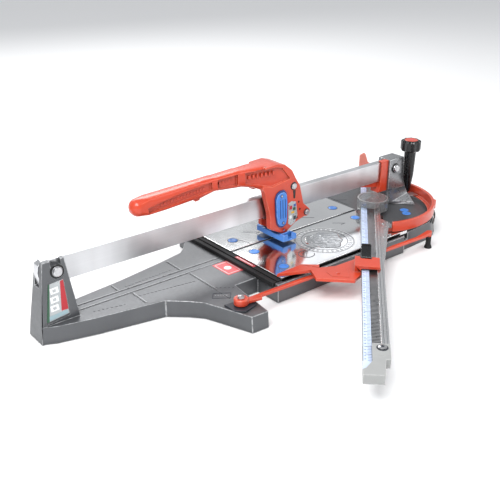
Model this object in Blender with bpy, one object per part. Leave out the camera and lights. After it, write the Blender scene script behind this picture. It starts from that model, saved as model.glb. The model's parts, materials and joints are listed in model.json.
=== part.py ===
"""Manual tile cutter: a cast base with a high guide rail, a scoring carriage with its handle and
breaking foot, two sprung tile plates, a swinging measuring ruler with an angle arc, and a side arm.

Lengths are in metres. X runs along the rail from the nose to the rear, Y to the left, Z up.
Places along X are measured from the nose; the frame empty then puts the origin on the bench,
under the centre pad.
"""

import math

import bmesh
import bpy
from mathutils import Matrix, Vector

# --- Driving dimensions -------------------------------------------------------------------------
NOSE_TO_ORIGIN = 0.68
GAP = 0.0003  # left between pieces that touch

RAIL_FRONT, RAIL_REAR = 0.0160, 1.030
RAIL_BOTTOM, RAIL_HEIGHT, RAIL_THICKNESS = 0.1134, 0.050, 0.018
RAIL_TOP = RAIL_BOTTOM + RAIL_HEIGHT
RAIL_SIDE = RAIL_THICKNESS / 2

BASE_BOTTOM = 0.0012
NOSE_DECK = 0.038
TRAY_RIM = 0.044
TRAY_FLOOR = 0.026
TRAY_FRONT, TRAY_SIDE = 0.461, 0.186
TRAY_WALL = 0.008
SPINE_SIDE = 0.012

PLATE_FRONT, PLATE_REAR = 0.480, 0.8865
PLATE_INNER, PLATE_OUTER = 0.004, 0.172
PLATE_BOTTOM, PLATE_TOP = 0.042, 0.050

PIVOT_X = 0.92  # axis of the swinging ruler, on the cut line
DISC = (0.0205, 0.0185)  # its clear cover, off centre on the ruler
REST_ANGLE = math.radians(-136.4)  # the ruler's direction at rest, from +X
REAR_RADIUS = 0.1740
ARC_INNER, ARC_OUTER = 0.1690, 0.1765
ARC_BOTTOM, FLANGE_TOP = 0.0512, 0.0550
KNOB = (1.0530, -0.0262)

RULER_FRONT, RULER_BACK = -0.0115, 0.0365
RULER_FAR, RULER_END = -0.168, 0.705
SCALE_END, CAP_END = 0.783, 0.806
RULER_BOTTOM = 0.0515
LEVER_PIN = (0.366, 0.0752)

HANDLE_PIVOT = (0.639, 0.180)
LOWER_BOLT = (0.682, 0.1055)
FOOT_PIN = (0.612, 0.0765)
WHEEL_HOLDER_PIN = (0.645, 0.0925)
WHEEL_CENTRE = (0.645, 0.0700)
BOTTOM_ROLLER = (0.600, RAIL_BOTTOM - 0.0065 - GAP)
CHEEK_INNER, CHEEK_OUTER, CHEEK_FAR = 0.0145, 0.030, 0.026

ARM_PIVOT = (0.3515, -0.197)
ARM_END = (0.935, -0.201)

NOSE_BOLT = (0.050, 0.1425)
REAR_BOLT = (1.006, 0.1425)
BOLT_RADIUS = 0.005
POST_SIDE = 0.0205

# Cross grooves of the nose deck as (x, y from, y to), and the long lines as (y, end x).
DECK_GROOVES = [
    (0.190, 0.010, 0.042), (0.208, -0.066, -0.012), (0.345, 0.010, 0.068), (0.352, -0.160, -0.012),
]
DECK_LINES = [(0.0085, 0.454), (-0.0105, 0.352)]

# --- Materials ----------------------------------------------------------------------------------


def finish(name, colour, roughness, metallic=0.0, alpha=1.0):
    material = bpy.data.materials.new(name)
    material.use_nodes = True
    shader = material.node_tree.nodes["Principled BSDF"]
    shader.inputs["Base Color"].default_value = (*colour, 1.0)
    shader.inputs["Roughness"].default_value = roughness
    shader.inputs["Metallic"].default_value = metallic
    shader.inputs["Alpha"].default_value = alpha
    material.diffuse_color = (*colour, alpha)
    return material


for thing in list(bpy.data.objects):
    bpy.data.objects.remove(thing)

CAST_GREY = finish("cast_grey", (0.16, 0.17, 0.18), 0.45, 0.3)
POST_GREY = finish("post_grey", (0.35, 0.36, 0.37), 0.4, 0.5)
BRIGHT_STEEL = finish("bright_steel", (0.75, 0.75, 0.76), 0.2, 1.0)
POLISHED_ALUMINIUM = finish("polished_aluminium", (0.80, 0.81, 0.82), 0.15, 1.0)
BOLT_STEEL = finish("bolt_steel", (0.62, 0.62, 0.62), 0.3, 1.0)
BLACK_RUBBER = finish("black_rubber", (0.015, 0.015, 0.015), 0.8)
BLACK_PLASTIC = finish("black_plastic", (0.012, 0.012, 0.014), 0.4)
ORANGE_RED = finish("orange_red", (0.75, 0.08, 0.025), 0.4)
BLUE_PLASTIC = finish("blue_plastic", (0.08, 0.27, 0.75), 0.4)
SCALE_WHITE = finish("scale_white", (0.6, 0.68, 0.85), 0.4)
END_GREY = finish("end_grey", (0.38, 0.38, 0.36), 0.5)
CLEAR = finish("clear", (0.9, 0.92, 0.93), 0.05, 0.0, 0.35)

# --- Modelling tools ----------------------------------------------------------------------------


def empty(name, location, parent=None, turn=0.0):
    pivot = bpy.data.objects.new(name, None)
    bpy.context.collection.objects.link(pivot)
    pivot.location = location
    pivot.rotation_euler = (0.0, 0.0, turn)
    pivot.parent = parent
    return pivot


FRAME = empty("cutter_frame", (-NOSE_TO_ORIGIN, 0.0, 0.0))


def hang(piece, pivot):
    """Parents a piece drawn in the nose's coordinates to an empty on its joint's axis."""
    piece.parent = pivot
    piece.matrix_parent_inverse = Matrix.Translation(-Vector(pivot.location))
    return piece


def loft(name, rings, material, parent=FRAME):
    """A closed solid through rings of points, with its first and last ring filled."""
    shape = bmesh.new()
    loops = [[shape.verts.new(point) for point in ring] for ring in rings]
    for lower, upper in zip(loops, loops[1:]):
        for i in range(len(lower)):
            j = (i + 1) % len(lower)
            shape.faces.new((lower[i], lower[j], upper[j], upper[i]))
    shape.faces.new(loops[0])
    shape.faces.new(loops[-1])
    bmesh.ops.recalc_face_normals(shape, faces=shape.faces)
    mesh = bpy.data.meshes.new(name)
    shape.to_mesh(mesh)
    shape.free()
    mesh.shade_smooth()
    mesh.set_sharp_from_angle(angle=math.radians(35))
    mesh.materials.append(material)
    piece = bpy.data.objects.new(name, mesh)
    bpy.context.collection.objects.link(piece)
    piece.parent = parent
    return piece


def slab(name, outline, low, high, material, parent=FRAME):
    """An outline in plan, raised from low to high."""
    rings = [[(x, y, z) for x, y in outline] for z in (low, high)]
    return loft(name, rings, material, parent)


def side_slab(name, outline, y_low, y_high, material, parent=FRAME):
    """An outline seen from the side, as (x, z), given a width along Y."""
    rings = [[(x, y, z) for x, z in outline] for y in (y_low, y_high)]
    return loft(name, rings, material, parent)


def long_slab(name, outline, x_low, x_high, material, parent=FRAME):
    """A section as (y, z), run along X."""
    rings = [[(x, y, z) for y, z in outline] for x in (x_low, x_high)]
    return loft(name, rings, material, parent)


def block(name, x, y, z, material, parent=FRAME):
    outline = [(x[0], y[0]), (x[1], y[0]), (x[1], y[1]), (x[0], y[1])]
    return slab(name, outline, z[0], z[1], material, parent)


def circle(radius, sides, turn=0.0):
    angles = [turn + 2 * math.pi * i / sides for i in range(sides)]
    return [(radius * math.cos(a), radius * math.sin(a)) for a in angles]


def upright(name, centre, profile, material, parent=FRAME, sides=24):
    """A turned piece on a vertical axis; profile lists (radius, height)."""
    rings = [[(centre[0] + x, centre[1] + y, z) for x, y in circle(r, sides)] for r, z in profile]
    return loft(name, rings, material, parent)


def crosswise(name, centre, profile, material, parent=FRAME, sides=20):
    """A turned piece on an axis along Y at centre (x, z); profile lists (radius, y)."""
    rings = [[(centre[0] + x, y, centre[1] + z) for x, z in circle(r, sides)] for r, y in profile]
    return loft(name, rings, material, parent)


def helper(piece):
    piece.hide_render = True
    piece.display_type = "WIRE"
    return piece


def combine(target, other, operation):
    helper(other)
    step = target.modifiers.new(other.name, "BOOLEAN")
    step.operation = operation
    step.solver = "EXACT"
    step.object = other


def cut(target, *cutters):
    for cutter in cutters:
        combine(target, cutter, "DIFFERENCE")


def fuse(target, *others):
    for other in others:
        combine(target, other, "UNION")


def arc_points(radius, start, end, steps, centre=(0.0, 0.0)):
    angles = [math.radians(start + (end - start) * i / steps) for i in range(steps + 1)]
    return [(centre[0] + radius * math.cos(a), centre[1] + radius * math.sin(a)) for a in angles]


def band(inner, outer, start, end, steps, centre=(0.0, 0.0)):
    """The plan outline of a curved band between two radii."""
    outside = arc_points(outer, start, end, steps, centre)
    inside = arc_points(inner, end, start, steps, centre)
    return outside + inside


def tapered(outline, floor_spread, low, high):
    """Two rings of a cast wall with draft: the lower one is spread out from the middle."""
    middle = (sum(p[0] for p in outline) / len(outline), sum(p[1] for p in outline) / len(outline))
    lower = []
    for x, y in outline:
        away = Vector((x - middle[0], y - middle[1]))
        step = away.normalized() * floor_spread
        lower.append((x + step.x, y + step.y, low))
    return [lower, [(x, y, high) for x, y in outline]]


# --- Base ---------------------------------------------------------------------------------------


def nose_outline():
    """Plan of the tapering nose with the wing on the right, from the nose's right corner round."""
    right = [
        (0.0045, -0.0270), (0.030, -0.0390), (0.106, -0.058), (0.2465, -0.083), (0.2815, -0.115),
        (0.302, -0.139), (0.319, -0.184), (0.3406, -0.245), (0.381, -0.247), (0.398, -0.118),
    ]
    left = [
        (0.470, 0.150), (0.437, 0.129), (0.418, 0.105), (0.398, 0.089), (0.335, 0.075),
        (0.220, 0.054), (0.119, 0.041), (0.0045, 0.0260),
    ]
    return right + [(0.470, -0.118)] + left


def tray_outline(spread):
    """Plan of the plate tray with its round rear; spread is the draft of the cast wall."""
    rear = arc_points(REAR_RADIUS + 4 * spread, -70, 70, 18, (PIVOT_X, 0.0))
    side = TRAY_SIDE - 0.002 + spread
    corners = [(TRAY_FRONT - spread / 2, side), (0.862, side), (0.874, side - 0.010)]
    return mirrored(corners)[::-1] + rear + corners[::-1]


def mirrored(outline):
    return [(x, -y) for x, y in reversed(outline)]


def inset(outline, wall):
    """The same outline drawn in by the thickness of a wall; it runs anticlockwise."""
    corners = [Vector(point) for point in outline]
    shrunk = []
    for i, corner in enumerate(corners):
        into = (corner - corners[i - 1]).normalized()
        out = (corners[(i + 1) % len(corners)] - corner).normalized()
        inward_in, inward_out = Vector((-into.y, into.x)), Vector((-out.y, out.x))
        shift = (inward_in + inward_out) * wall / (1 + inward_in.dot(inward_out))
        shrunk.append((corner.x + shift.x, corner.y + shift.y))
    return shrunk


def hollow(name, outline, wall, ceiling, x_low, x_high):
    """The space under a deck, with the spine and the seats of the feet left standing in it."""
    space = slab(name, inset(outline, wall), -0.01, ceiling, CAST_GREY)
    cut(space, block(f"{name}_spine", (-0.1, 1.2), (-SPINE_SIDE, SPINE_SIDE), (-0.02, 0.06), CAST_GREY))
    cut(space, block(f"{name}_before", (-0.1, x_low), (-0.3, 0.3), (-0.02, 0.06), CAST_GREY))
    cut(space, block(f"{name}_behind", (x_high, 1.2), (-0.3, 0.3), (-0.02, 0.06), CAST_GREY))
    for foot, place in FEET.items():
        cut(space, upright(f"{name}_{foot}", place, [(0.018, -0.02), (0.018, 0.06)], CAST_GREY))
    return space


def tapered_post(name, foot, top, heights):
    """A four-sided post: foot and top are (x_front, x_rear, half_width)."""
    rings = []
    for (front, rear, side), z in zip((foot, top), heights):
        rings.append([(front, -side, z), (rear, -side, z), (rear, side, z), (front, side, z)])
    return loft(name, rings, CAST_GREY)


def bolt_seats(post, x, z, seat_radius):
    """Flat round seats on both faces of a post, and the bolt's hole through it."""
    for side in (-1, 1):
        ends = sorted((side * POST_SIDE, side * 0.060))
        profile = [(seat_radius, ends[0]), (seat_radius, ends[1])]
        cut(post, crosswise(f"{post.name}_seat_{side + 1}", (x, z), profile, BOLT_STEEL))
    hole = [(BOLT_RADIUS + GAP, -0.07), (BOLT_RADIUS + GAP, 0.07)]
    cut(post, crosswise(f"{post.name}_hole", (x, z), hole, BOLT_STEEL))


def rail_slot(name, x_low, x_high, top=0.25):
    side = RAIL_SIDE + GAP
    return block(name, (x_low, x_high), (-side, side), (RAIL_BOTTOM - GAP, top), BOLT_STEEL)


FEET = {
    "foot_nose": (0.045, 0.0),
    "foot_wing": (0.352, -0.205),
    "foot_front_left": (0.485, 0.164),
    "foot_rear_left": (0.875, 0.156),
    "foot_rear_right": (0.875, -0.156),
}
FOOT_RADIUS, FOOT_HEIGHT = 0.013, 0.005


def make_base():
    base = loft("base_casting", tapered(nose_outline(), 0.002, BASE_BOTTOM, NOSE_DECK), CAST_GREY)
    walls = ((BASE_BOTTOM, 0.002), (TRAY_RIM, 0.0))
    tray_rings = [[(x, y, z) for x, y in tray_outline(spread)] for z, spread in walls]
    tray = loft("tray_form", tray_rings, CAST_GREY)
    foot, top = (-0.0005, 0.0905, 0.0290), (0.022, 0.067, POST_SIDE)
    post = tapered_post("nose_post_form", foot, top, (BASE_BOTTOM, 0.166))
    fuse(base, tray, post)

    cut(base, hollow("nose_hollow", nose_outline(), 0.007, 0.031, 0.095, 0.452))
    cut(base, hollow("tray_hollow", tray_outline(0.0), 0.009, 0.021, 0.468, 1.055))
    side = TRAY_SIDE - TRAY_WALL
    cut(base, block("tray_pocket", (0.4785, 0.888), (-side, side), (TRAY_FLOOR, 0.10), CAST_GREY))
    cut(base, block("strip_pocket", (0.4552, 0.4790), (-0.1735, 0.1735), (0.0355, 0.10), CAST_GREY))

    cut(base, rail_slot("nose_rail_slot", -0.05, 0.12))
    cut(base, block("post_notch", (0.039, 0.060), (-0.05, 0.05), (0.1525, 0.20), CAST_GREY))
    outer = [(0.0275, 0.126), (0.0605, 0.1290), (0.0640, 0.046), (0.0140, 0.040)]
    panel = [[(x, -0.06, z) for x, z in outer], [(x, 0.0516 * z - 0.0283, z) for x, z in outer]]
    cut(base, loft("label_recess", panel, CAST_GREY))
    bolt_seats(base, *NOSE_BOLT, 0.0147)
    cut(base, block("far_cheek_top", (-0.05, 0.12), (RAIL_SIDE, 0.05), (0.1590, 0.20), CAST_GREY))
    corner = []
    for x, y, z in ((0.0062, 0.0262, 0.035), (0.0340, 0.0096, 0.170)):
        corner.append([(-0.05, y, z), (x, y, z), (x, 0.06, z), (-0.05, 0.06, z)])
    cut(base, loft("far_cheek_corner", corner, CAST_GREY))

    for i, (x, low, high) in enumerate(DECK_GROOVES):
        groove = block(f"deck_groove_{i}", (x, x + 0.0022), (low, high), (0.0366, 0.06), CAST_GREY)
        cut(base, groove)
    for i, (y, end) in enumerate(DECK_LINES):
        line = block(f"deck_line_{i}", (0.086, end), (y, y + 0.0018), (0.0366, 0.06), CAST_GREY)
        cut(base, line)
    for name, (x, y) in FEET.items():
        radius = FOOT_RADIUS + GAP
        cut(base, upright(f"{name}_seat", (x, y), [(radius, -0.01), (radius, FOOT_HEIGHT + GAP)], CAST_GREY))
    pad = [(0.6395, 0.7205), (-0.0103, 0.0103), (-0.01, 0.0043)]
    cut(base, block("centre_pad_seat", *pad, CAST_GREY))
    hole = [(0.0043, -0.01), (0.0043, 0.10)]
    cut(base, upright("arm_pin_hole", ARM_PIVOT, hole, CAST_GREY, sides=16))
    cut(base, upright("clamp_rod_hole", KNOB, hole, CAST_GREY, sides=16))
    cut(base, upright("swing_pin_hole", (PIVOT_X, 0.0), [(0.0063, 0.006), (0.0063, 0.1)], CAST_GREY))


def make_feet():
    for name, (x, y) in FEET.items():
        profile = [(FOOT_RADIUS - 0.001, 0.0), (FOOT_RADIUS, 0.001), (FOOT_RADIUS, FOOT_HEIGHT)]
        upright(name, (x, y), profile, BLACK_RUBBER, sides=20)
    block("centre_pad", (0.640, 0.720), (-0.010, 0.010), (0.0, 0.004), BLACK_RUBBER)


def post_ring(z, front, nose_side, shoulder, side, rear, foot_side):
    """One level of the rear post: narrow in front, to clear the ruler, and spreading to the rear."""
    right = [(front, -nose_side, z), (shoulder, -side, z), (rear, -foot_side, z)]
    return right + [(x, -y, z) for x, y, z in reversed(right)]


def make_rear_post():
    rings = [
        post_ring(0.0443, 0.991, 0.013, 1.002, 0.0225, 1.0445, 0.068),
        post_ring(0.0520, 0.991, 0.013, 1.002, 0.0220, 1.0445, 0.058),
        post_ring(0.0710, 0.991, 0.013, 1.002, 0.0212, 1.0430, 0.037),
        post_ring(0.0860, 0.991, 0.013, 1.002, 0.0210, 1.0425, 0.029),
        post_ring(0.0885, 0.984, 0.0206, 0.994, 0.0210, 1.0420, 0.0275),
        post_ring(0.1200, 0.984, 0.0205, 0.994, 0.0206, 1.0390, 0.0215),
        post_ring(0.1680, 0.984, 0.0205, 0.994, 0.0206, 1.0370, 0.0206),
    ]
    post = loft("rear_post", rings, POST_GREY)
    cut(post, rail_slot("rear_rail_slot", 0.95, RAIL_REAR + GAP, RAIL_TOP + GAP))
    bolt_seats(post, *REAR_BOLT, 0.0130)


def make_rail():
    front = RAIL_FRONT
    outline = [
        (front + 0.004, RAIL_BOTTOM), (RAIL_REAR, RAIL_BOTTOM), (RAIL_REAR, RAIL_TOP),
        (front + 0.012, RAIL_TOP), (front + 0.003, RAIL_TOP - 0.006), (front, RAIL_TOP - 0.020),
    ]
    rail = side_slab("rail", outline, -RAIL_SIDE, RAIL_SIDE, BRIGHT_STEEL)
    for end, (x, z) in (("nose", NOSE_BOLT), ("rear", REAR_BOLT)):
        hole = [(BOLT_RADIUS + GAP, -0.03), (BOLT_RADIUS + GAP, 0.03)]
        cut(rail, crosswise(f"rail_{end}_hole", (x, z), hole, BRIGHT_STEEL))


def make_rail_bolts():
    for end, (x, z), ring_radius in (("nose", NOSE_BOLT, 0.0138), ("rear", REAR_BOLT, 0.0120)):
        face = POST_SIDE
        head = [(BOLT_RADIUS, 0.032), (BOLT_RADIUS, -face - 0.0018), (0.0095, -face - 0.0018)]
        head += [(0.0095, -face - 0.0062), (0.0078, -face - 0.0075)]
        crosswise(f"{end}_bolt", (x, z), head, BOLT_STEEL)
        disc = [(ring_radius, -face - 0.0015), (ring_radius, -face - GAP)]
        ring = crosswise(f"{end}_bolt_washer", (x, z), disc, BLACK_PLASTIC)
        bore = [(BOLT_RADIUS + GAP, -0.03), (BOLT_RADIUS + GAP, 0.0)]
        cut(ring, crosswise(f"{end}_washer_bore", (x, z), bore, BLACK_PLASTIC))
        body = [(0.0092, face + GAP), (0.0092, face + 0.008)]
        nut = crosswise(f"{end}_nut", (x, z), body, BOLT_STEEL, sides=6)
        thread = [(BOLT_RADIUS + GAP, 0.0), (BOLT_RADIUS + GAP, 0.05)]
        cut(nut, crosswise(f"{end}_nut_thread", (x, z), thread, BOLT_STEEL))


def make_rail_stop():
    """The red buffer in front of the rear post, with its long fin under the rail."""
    body = [(0.9510, 0.0850), (0.9837, 0.0850), (0.9837, 0.1675), (0.9600, 0.1675), (0.9585, 0.1050)]
    stop = side_slab("rail_stop", body, -0.0150, 0.0130, ORANGE_RED)
    fin = [(0.895, 0.1105), (0.960, 0.096), (0.960, RAIL_BOTTOM - GAP), (0.895, RAIL_BOTTOM - GAP)]
    fuse(stop, side_slab("stop_fin", fin, -0.006, 0.006, ORANGE_RED))
    side = RAIL_SIDE + GAP
    height = (RAIL_BOTTOM - GAP, RAIL_TOP + GAP)
    cut(stop, block("stop_channel", (0.94, 0.99), (-side, side), height, ORANGE_RED))
    cut(stop, block("stop_far_top", (0.94, 0.99), (-0.0010, 0.05), (RAIL_TOP - 0.004, 0.20), ORANGE_RED))


def make_tray_trim():
    strip = [
        (0.4555, 0.0358), (0.4787, 0.0358), (0.4787, 0.0470), (0.4690, 0.0470), (0.4690, 0.0420),
        (0.4650, 0.0420), (0.4650, 0.0465), (0.4555, 0.0465),
    ]
    side_slab("front_strip", strip, -0.173, 0.173, BLACK_RUBBER)
    ridge_foot = TRAY_FLOOR + GAP
    ridge = [(-0.0018, ridge_foot), (0.0018, ridge_foot), (0.0018, 0.0478), (0.0, 0.0494), (-0.0018, 0.0478)]
    long_slab("breaking_ridge", ridge, PLATE_FRONT, PLATE_REAR, BOLT_STEEL)
    scale = band(REAR_RADIUS + 0.0042, 0.1815, -64, 64, 18, (PIVOT_X, 0.0))
    slab("angle_scale", scale, 0.0330, TRAY_RIM, BLACK_PLASTIC)
    pin = [(0.004, 0.020), (0.004, 0.0575), (0.0075, 0.0575), (0.0065, 0.0605)]
    upright("arm_pivot_pin", ARM_PIVOT, pin, BOLT_STEEL, sides=16)


# --- Tile plates --------------------------------------------------------------------------------

SPRING_PLACES = {"front": 0.530, "rear": 0.840}
SPRING_Y = 0.120


def coil(name, x, y, low, high):
    """A compression spring as one closed helical tube with flattened ends."""
    turns, steps, wire, radius = 4, 14, 0.0011, 0.0070
    total = turns * steps
    rings = []
    for i in range(total + 1):
        angle = 2 * math.pi * i / steps
        rise = low + wire + (high - low - 2 * wire) * i / total
        centre = Vector((x + radius * math.cos(angle), y + radius * math.sin(angle), rise))
        outward = Vector((math.cos(angle), math.sin(angle), 0.0))
        ring = []
        for u, v in circle(wire, 6):
            ring.append(centre + outward * u + Vector((0.0, 0.0, v)))
        rings.append(ring)
    return loft(name, rings, BOLT_STEEL)


def make_plates():
    for side, sign in (("right", -1), ("left", 1)):
        ends = sorted((sign * PLATE_INNER, sign * PLATE_OUTER))
        plate = block(
            f"plate_{side}", (PLATE_FRONT, PLATE_REAR), ends, (PLATE_BOTTOM, PLATE_TOP), POLISHED_ALUMINIUM
        )
        edge = plate.modifiers.new("edge", "BEVEL")
        edge.width = 0.0008
        edge.segments = 1
        for end, x in SPRING_PLACES.items():
            coil(f"spring_{side}_{end}", x, sign * SPRING_Y, TRAY_FLOOR + GAP, PLATE_BOTTOM - GAP)


# --- Carriage -----------------------------------------------------------------------------------


def make_carriage():
    outline = [
        (0.584, 0.0985), (0.612, 0.0985), (0.630, 0.112), (0.660, 0.112), (0.664, 0.170),
        (0.650, 0.190), (0.626, 0.190), (0.588, 0.172),
    ]
    x, z = HANDLE_PIVOT
    for side, sign in (("right", -1), ("left", 1)):
        ends = sorted((sign * 0.0107, sign * 0.0137))
        plate = side_slab(f"carriage_plate_{side}", outline, *ends, BOLT_STEEL)
        cut(plate, crosswise(f"{side}_pivot_bore", (x, z), [(0.0043, -0.03), (0.0043, 0.03)], BOLT_STEEL))
        bore = [(0.0023, -0.03), (0.0023, 0.03)]
        cut(plate, crosswise(f"{side}_axle_bore", BOTTOM_ROLLER, bore, BOLT_STEEL, sides=12))
    reach = RAIL_SIDE - 0.0005
    top = z - RAIL_TOP - GAP
    wheels = (("top_roller", (x, z), top, 0.0043), ("bottom_roller", BOTTOM_ROLLER, 0.0065, 0.0023))
    for name, centre, radius, bore_radius in wheels:
        roller = crosswise(name, centre, [(radius, -reach), (radius, reach)], BRIGHT_STEEL, sides=28)
        bore = [(bore_radius, -0.03), (bore_radius, 0.03)]
        cut(roller, crosswise(f"{name}_bore", centre, bore, BRIGHT_STEEL, sides=16))
    crosswise("bottom_axle", BOTTOM_ROLLER, [(0.0020, -0.0139), (0.0020, 0.0139)], BOLT_STEEL, sides=12)


# --- Handle -------------------------------------------------------------------------------------

HANDLE_AXIS = empty("handle_axis", (HANDLE_PIVOT[0], 0.0, HANDLE_PIVOT[1]), FRAME)


def grip_ring(x, low, high, side, squareness=4.0, points=16):
    """A rounded rectangular section across the grip."""
    middle, half = (low + high) / 2, (high - low) / 2
    ring = []
    for i in range(points):
        angle = 2 * math.pi * (i + 0.5) / points
        c, s = math.cos(angle), math.sin(angle)
        y = side * math.copysign(abs(c) ** (2 / squareness), c)
        z = half * math.copysign(abs(s) ** (2 / squareness), s)
        ring.append((x, y, middle + z))
    return ring


def grip_rings():
    ball_x, ball_z, ball = 0.2445, 0.2164, 0.0190
    rings = []
    for degrees in (82, 60, 38, 18, 0):
        reach, size = math.sin(math.radians(degrees)), math.cos(math.radians(degrees))
        low, high = ball_z - ball * size, ball_z + ball * size
        rings.append(grip_ring(ball_x - ball * reach, low, high, ball * size, 2.2))
    sections = [
        (0.262, 0.1975, 0.2362, 0.0178), (0.300, 0.1985, 0.2378, 0.0172), (0.374, 0.2035, 0.2408, 0.0170),
        (0.386, 0.2020, 0.2412, 0.0170), (0.404, 0.2060, 0.2418, 0.0170), (0.425, 0.2105, 0.2426, 0.0172),
        (0.430, 0.2102, 0.2418, 0.0172), (0.492, 0.2045, 0.2442, 0.0185), (0.498, 0.2040, 0.2434, 0.0190),
        (0.528, 0.1965, 0.2438, 0.0235), (0.560, 0.1810, 0.2432, 0.0285), (0.585, 0.1770, 0.2420, 0.0290),
    ]
    return rings + [grip_ring(*section) for section in sections]


def cheek_outline():
    lobe = arc_points(0.0115, 62, -118, 5, LOWER_BOLT)
    front = [(0.5905, 0.0780), (0.5715, 0.0880), (0.5685, 0.1259), (0.5607, 0.1523), (0.5530, 0.1822)]
    top = [
        (0.548, 0.190), (0.555, 0.2405), (0.592, 0.2420), (0.612, 0.2365), (0.634, 0.2190), (0.6458, 0.1977),
    ]
    return (
        front + top + [(0.659, 0.1777), (0.6719, 0.1298)] + lobe
        + [(0.6480, 0.0878), (0.6270, 0.0748), (0.6141, 0.0652)]
    )


def grip_pocket(name, outline, sign):
    """A recess in the side of the handle, its floor about 5 mm under the swelling side."""
    floor = []
    for x, z in outline:
        swell = min(max((x - 0.492) / 0.083, 0.0), 1.0)
        floor.append((x, sign * (0.0115 + 0.0140 * swell), z))
    return loft(name, [[(x, sign * 0.05, z) for x, z in outline], floor], ORANGE_RED)


def make_handle():
    handle = hang(side_slab("handle", cheek_outline(), -CHEEK_OUTER, CHEEK_OUTER, ORANGE_RED), HANDLE_AXIS)
    fuse(handle, loft("grip_form", grip_rings(), ORANGE_RED))
    cut(handle, block("cheek_gap", (0.52, 0.75), (-CHEEK_INNER, CHEEK_INNER), (0.04, 0.200), ORANGE_RED))
    far = (CHEEK_INNER - 0.001, 0.05)
    cut(handle, block("far_cheek_front", (0.52, 0.598), far, (0.1120, 0.178), ORANGE_RED))
    cut(handle, block("far_cheek_toe", (0.52, 0.580), far, (0.04, 0.1125), ORANGE_RED))
    cut(handle, block("far_cheek_face", (0.57, 0.75), (CHEEK_FAR, 0.05), (0.04, 0.1900), ORANGE_RED))
    pockets = {
        "grip": [
            (0.260, 0.2040), (0.338, 0.2090), (0.4180, 0.2170), (0.4180, 0.2350), (0.338, 0.2280), (0.258, 0.2150),
        ],
        "neck": [(0.4330, 0.2170), (0.4870, 0.2120), (0.4870, 0.2370), (0.4330, 0.2355)],
        "head": [
            (0.506, 0.2115), (0.575, 0.1920), (0.628, 0.2005), (0.604, 0.2300), (0.585, 0.2355),
            (0.506, 0.2355),
        ],
    }
    for place, outline in pockets.items():
        for side, sign in (("right", -1), ("left", 1)):
            cut(handle, grip_pocket(f"{place}_pocket_{side}", outline, sign))
    bores = {
        "main": (HANDLE_PIVOT, 0.0043), "lower": (LOWER_BOLT, 0.0043),
        "foot": (FOOT_PIN, 0.0028), "holder": (WHEEL_HOLDER_PIN, 0.0028),
    }
    for place, (centre, radius) in bores.items():
        bore = [(radius, -0.05), (radius, 0.05)]
        cut(handle, crosswise(f"{place}_bore", centre, bore, ORANGE_RED, sides=16))
    slot = [(0.6380, 0.1690), (0.6405, 0.1480), (0.6455, 0.1480), (0.6460, 0.1690)]
    cut(handle, side_slab("cheek_window", slot, -0.05, -0.02, ORANGE_RED))


def make_handle_fittings():
    face = CHEEK_OUTER + GAP
    bolts = (("handle_pivot_bolt", HANDLE_PIVOT, 0.0070), ("lower_bolt", LOWER_BOLT, 0.0062))
    for name, centre, head in bolts:
        profile = [(0.0040, 0.0375), (0.0040, -face), (head, -face), (head, -face - 0.0032)]
        profile += [(head - 0.0012, -face - 0.0042)]
        hang(crosswise(name, centre, profile, BOLT_STEEL), HANDLE_AXIS)
        label = name.replace("_bolt", "_nut")
        far = CHEEK_FAR + GAP
        body, thread = [(head, far), (head, far + 0.0060)], [(0.0043, 0.01), (0.0043, 0.06)]
        nut = hang(crosswise(label, centre, body, BOLT_STEEL, sides=6), HANDLE_AXIS)
        cut(nut, crosswise(f"{label}_thread", centre, thread, BOLT_STEEL, sides=16))
    cover = [
        (0.5835, 0.1590), (0.5880, 0.1690), (0.5965, 0.1735), (0.6075, 0.1735), (0.6140, 0.1665),
        (0.6170, 0.1450), (0.6170, 0.1060), (0.6135, 0.0950), (0.6050, 0.0905), (0.5955, 0.0930),
        (0.5895, 0.1010), (0.5855, 0.1200),
    ]
    hang(side_slab("cover_right", cover, -CHEEK_OUTER - 0.0048, -face, BLUE_PLASTIC), HANDLE_AXIS)
    far_cover = [(x + 0.0170, z) for x, z in cover]
    hang(side_slab("cover_left", far_cover, CHEEK_FAR + GAP, CHEEK_FAR + 0.0048, BLUE_PLASTIC), HANDLE_AXIS)
    pin = [(0.0025, -0.0300), (0.0025, 0.0260)]
    hang(crosswise("foot_pin", FOOT_PIN, pin, BOLT_STEEL, sides=16), HANDLE_AXIS)
    hang(crosswise("wheel_holder_pin", WHEEL_HOLDER_PIN, pin, BOLT_STEEL, sides=16), HANDLE_AXIS)

    outline = [(0.6375, 0.0660), (0.6525, 0.0660), (0.6540, 0.0980), (0.6360, 0.0980)]
    holder = hang(side_slab("wheel_holder", outline, -0.0080, 0.0080, BOLT_STEEL), HANDLE_AXIS)
    cut(holder, block("wheel_slot", (0.62, 0.67), (-0.0026, 0.0026), (0.05, 0.0815), BOLT_STEEL))
    for place, centre, radius in (("pin", WHEEL_HOLDER_PIN, 0.0028), ("axle", WHEEL_CENTRE, 0.0018)):
        bore = [(radius, -0.05), (radius, 0.05)]
        cut(holder, crosswise(f"holder_{place}_bore", centre, bore, BOLT_STEEL, sides=12))
    axle = [(0.0015, -0.0080), (0.0015, 0.0080)]
    hang(crosswise("wheel_axle", WHEEL_CENTRE, axle, BOLT_STEEL, sides=12), HANDLE_AXIS)


def make_scoring_wheel():
    axis = empty("wheel_axis", (WHEEL_CENTRE[0], 0.0, WHEEL_CENTRE[1]), FRAME)
    profile = [(0.0060, -0.0022), (0.0072, -0.0012), (0.0090, 0.0), (0.0072, 0.0012), (0.0060, 0.0022)]
    wheel = hang(crosswise("scoring_wheel", WHEEL_CENTRE, profile, BRIGHT_STEEL, sides=32), axis)
    bore = [(0.0017, -0.02), (0.0017, 0.02)]
    cut(wheel, crosswise("wheel_bore", WHEEL_CENTRE, bore, BRIGHT_STEEL, sides=12))


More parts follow.
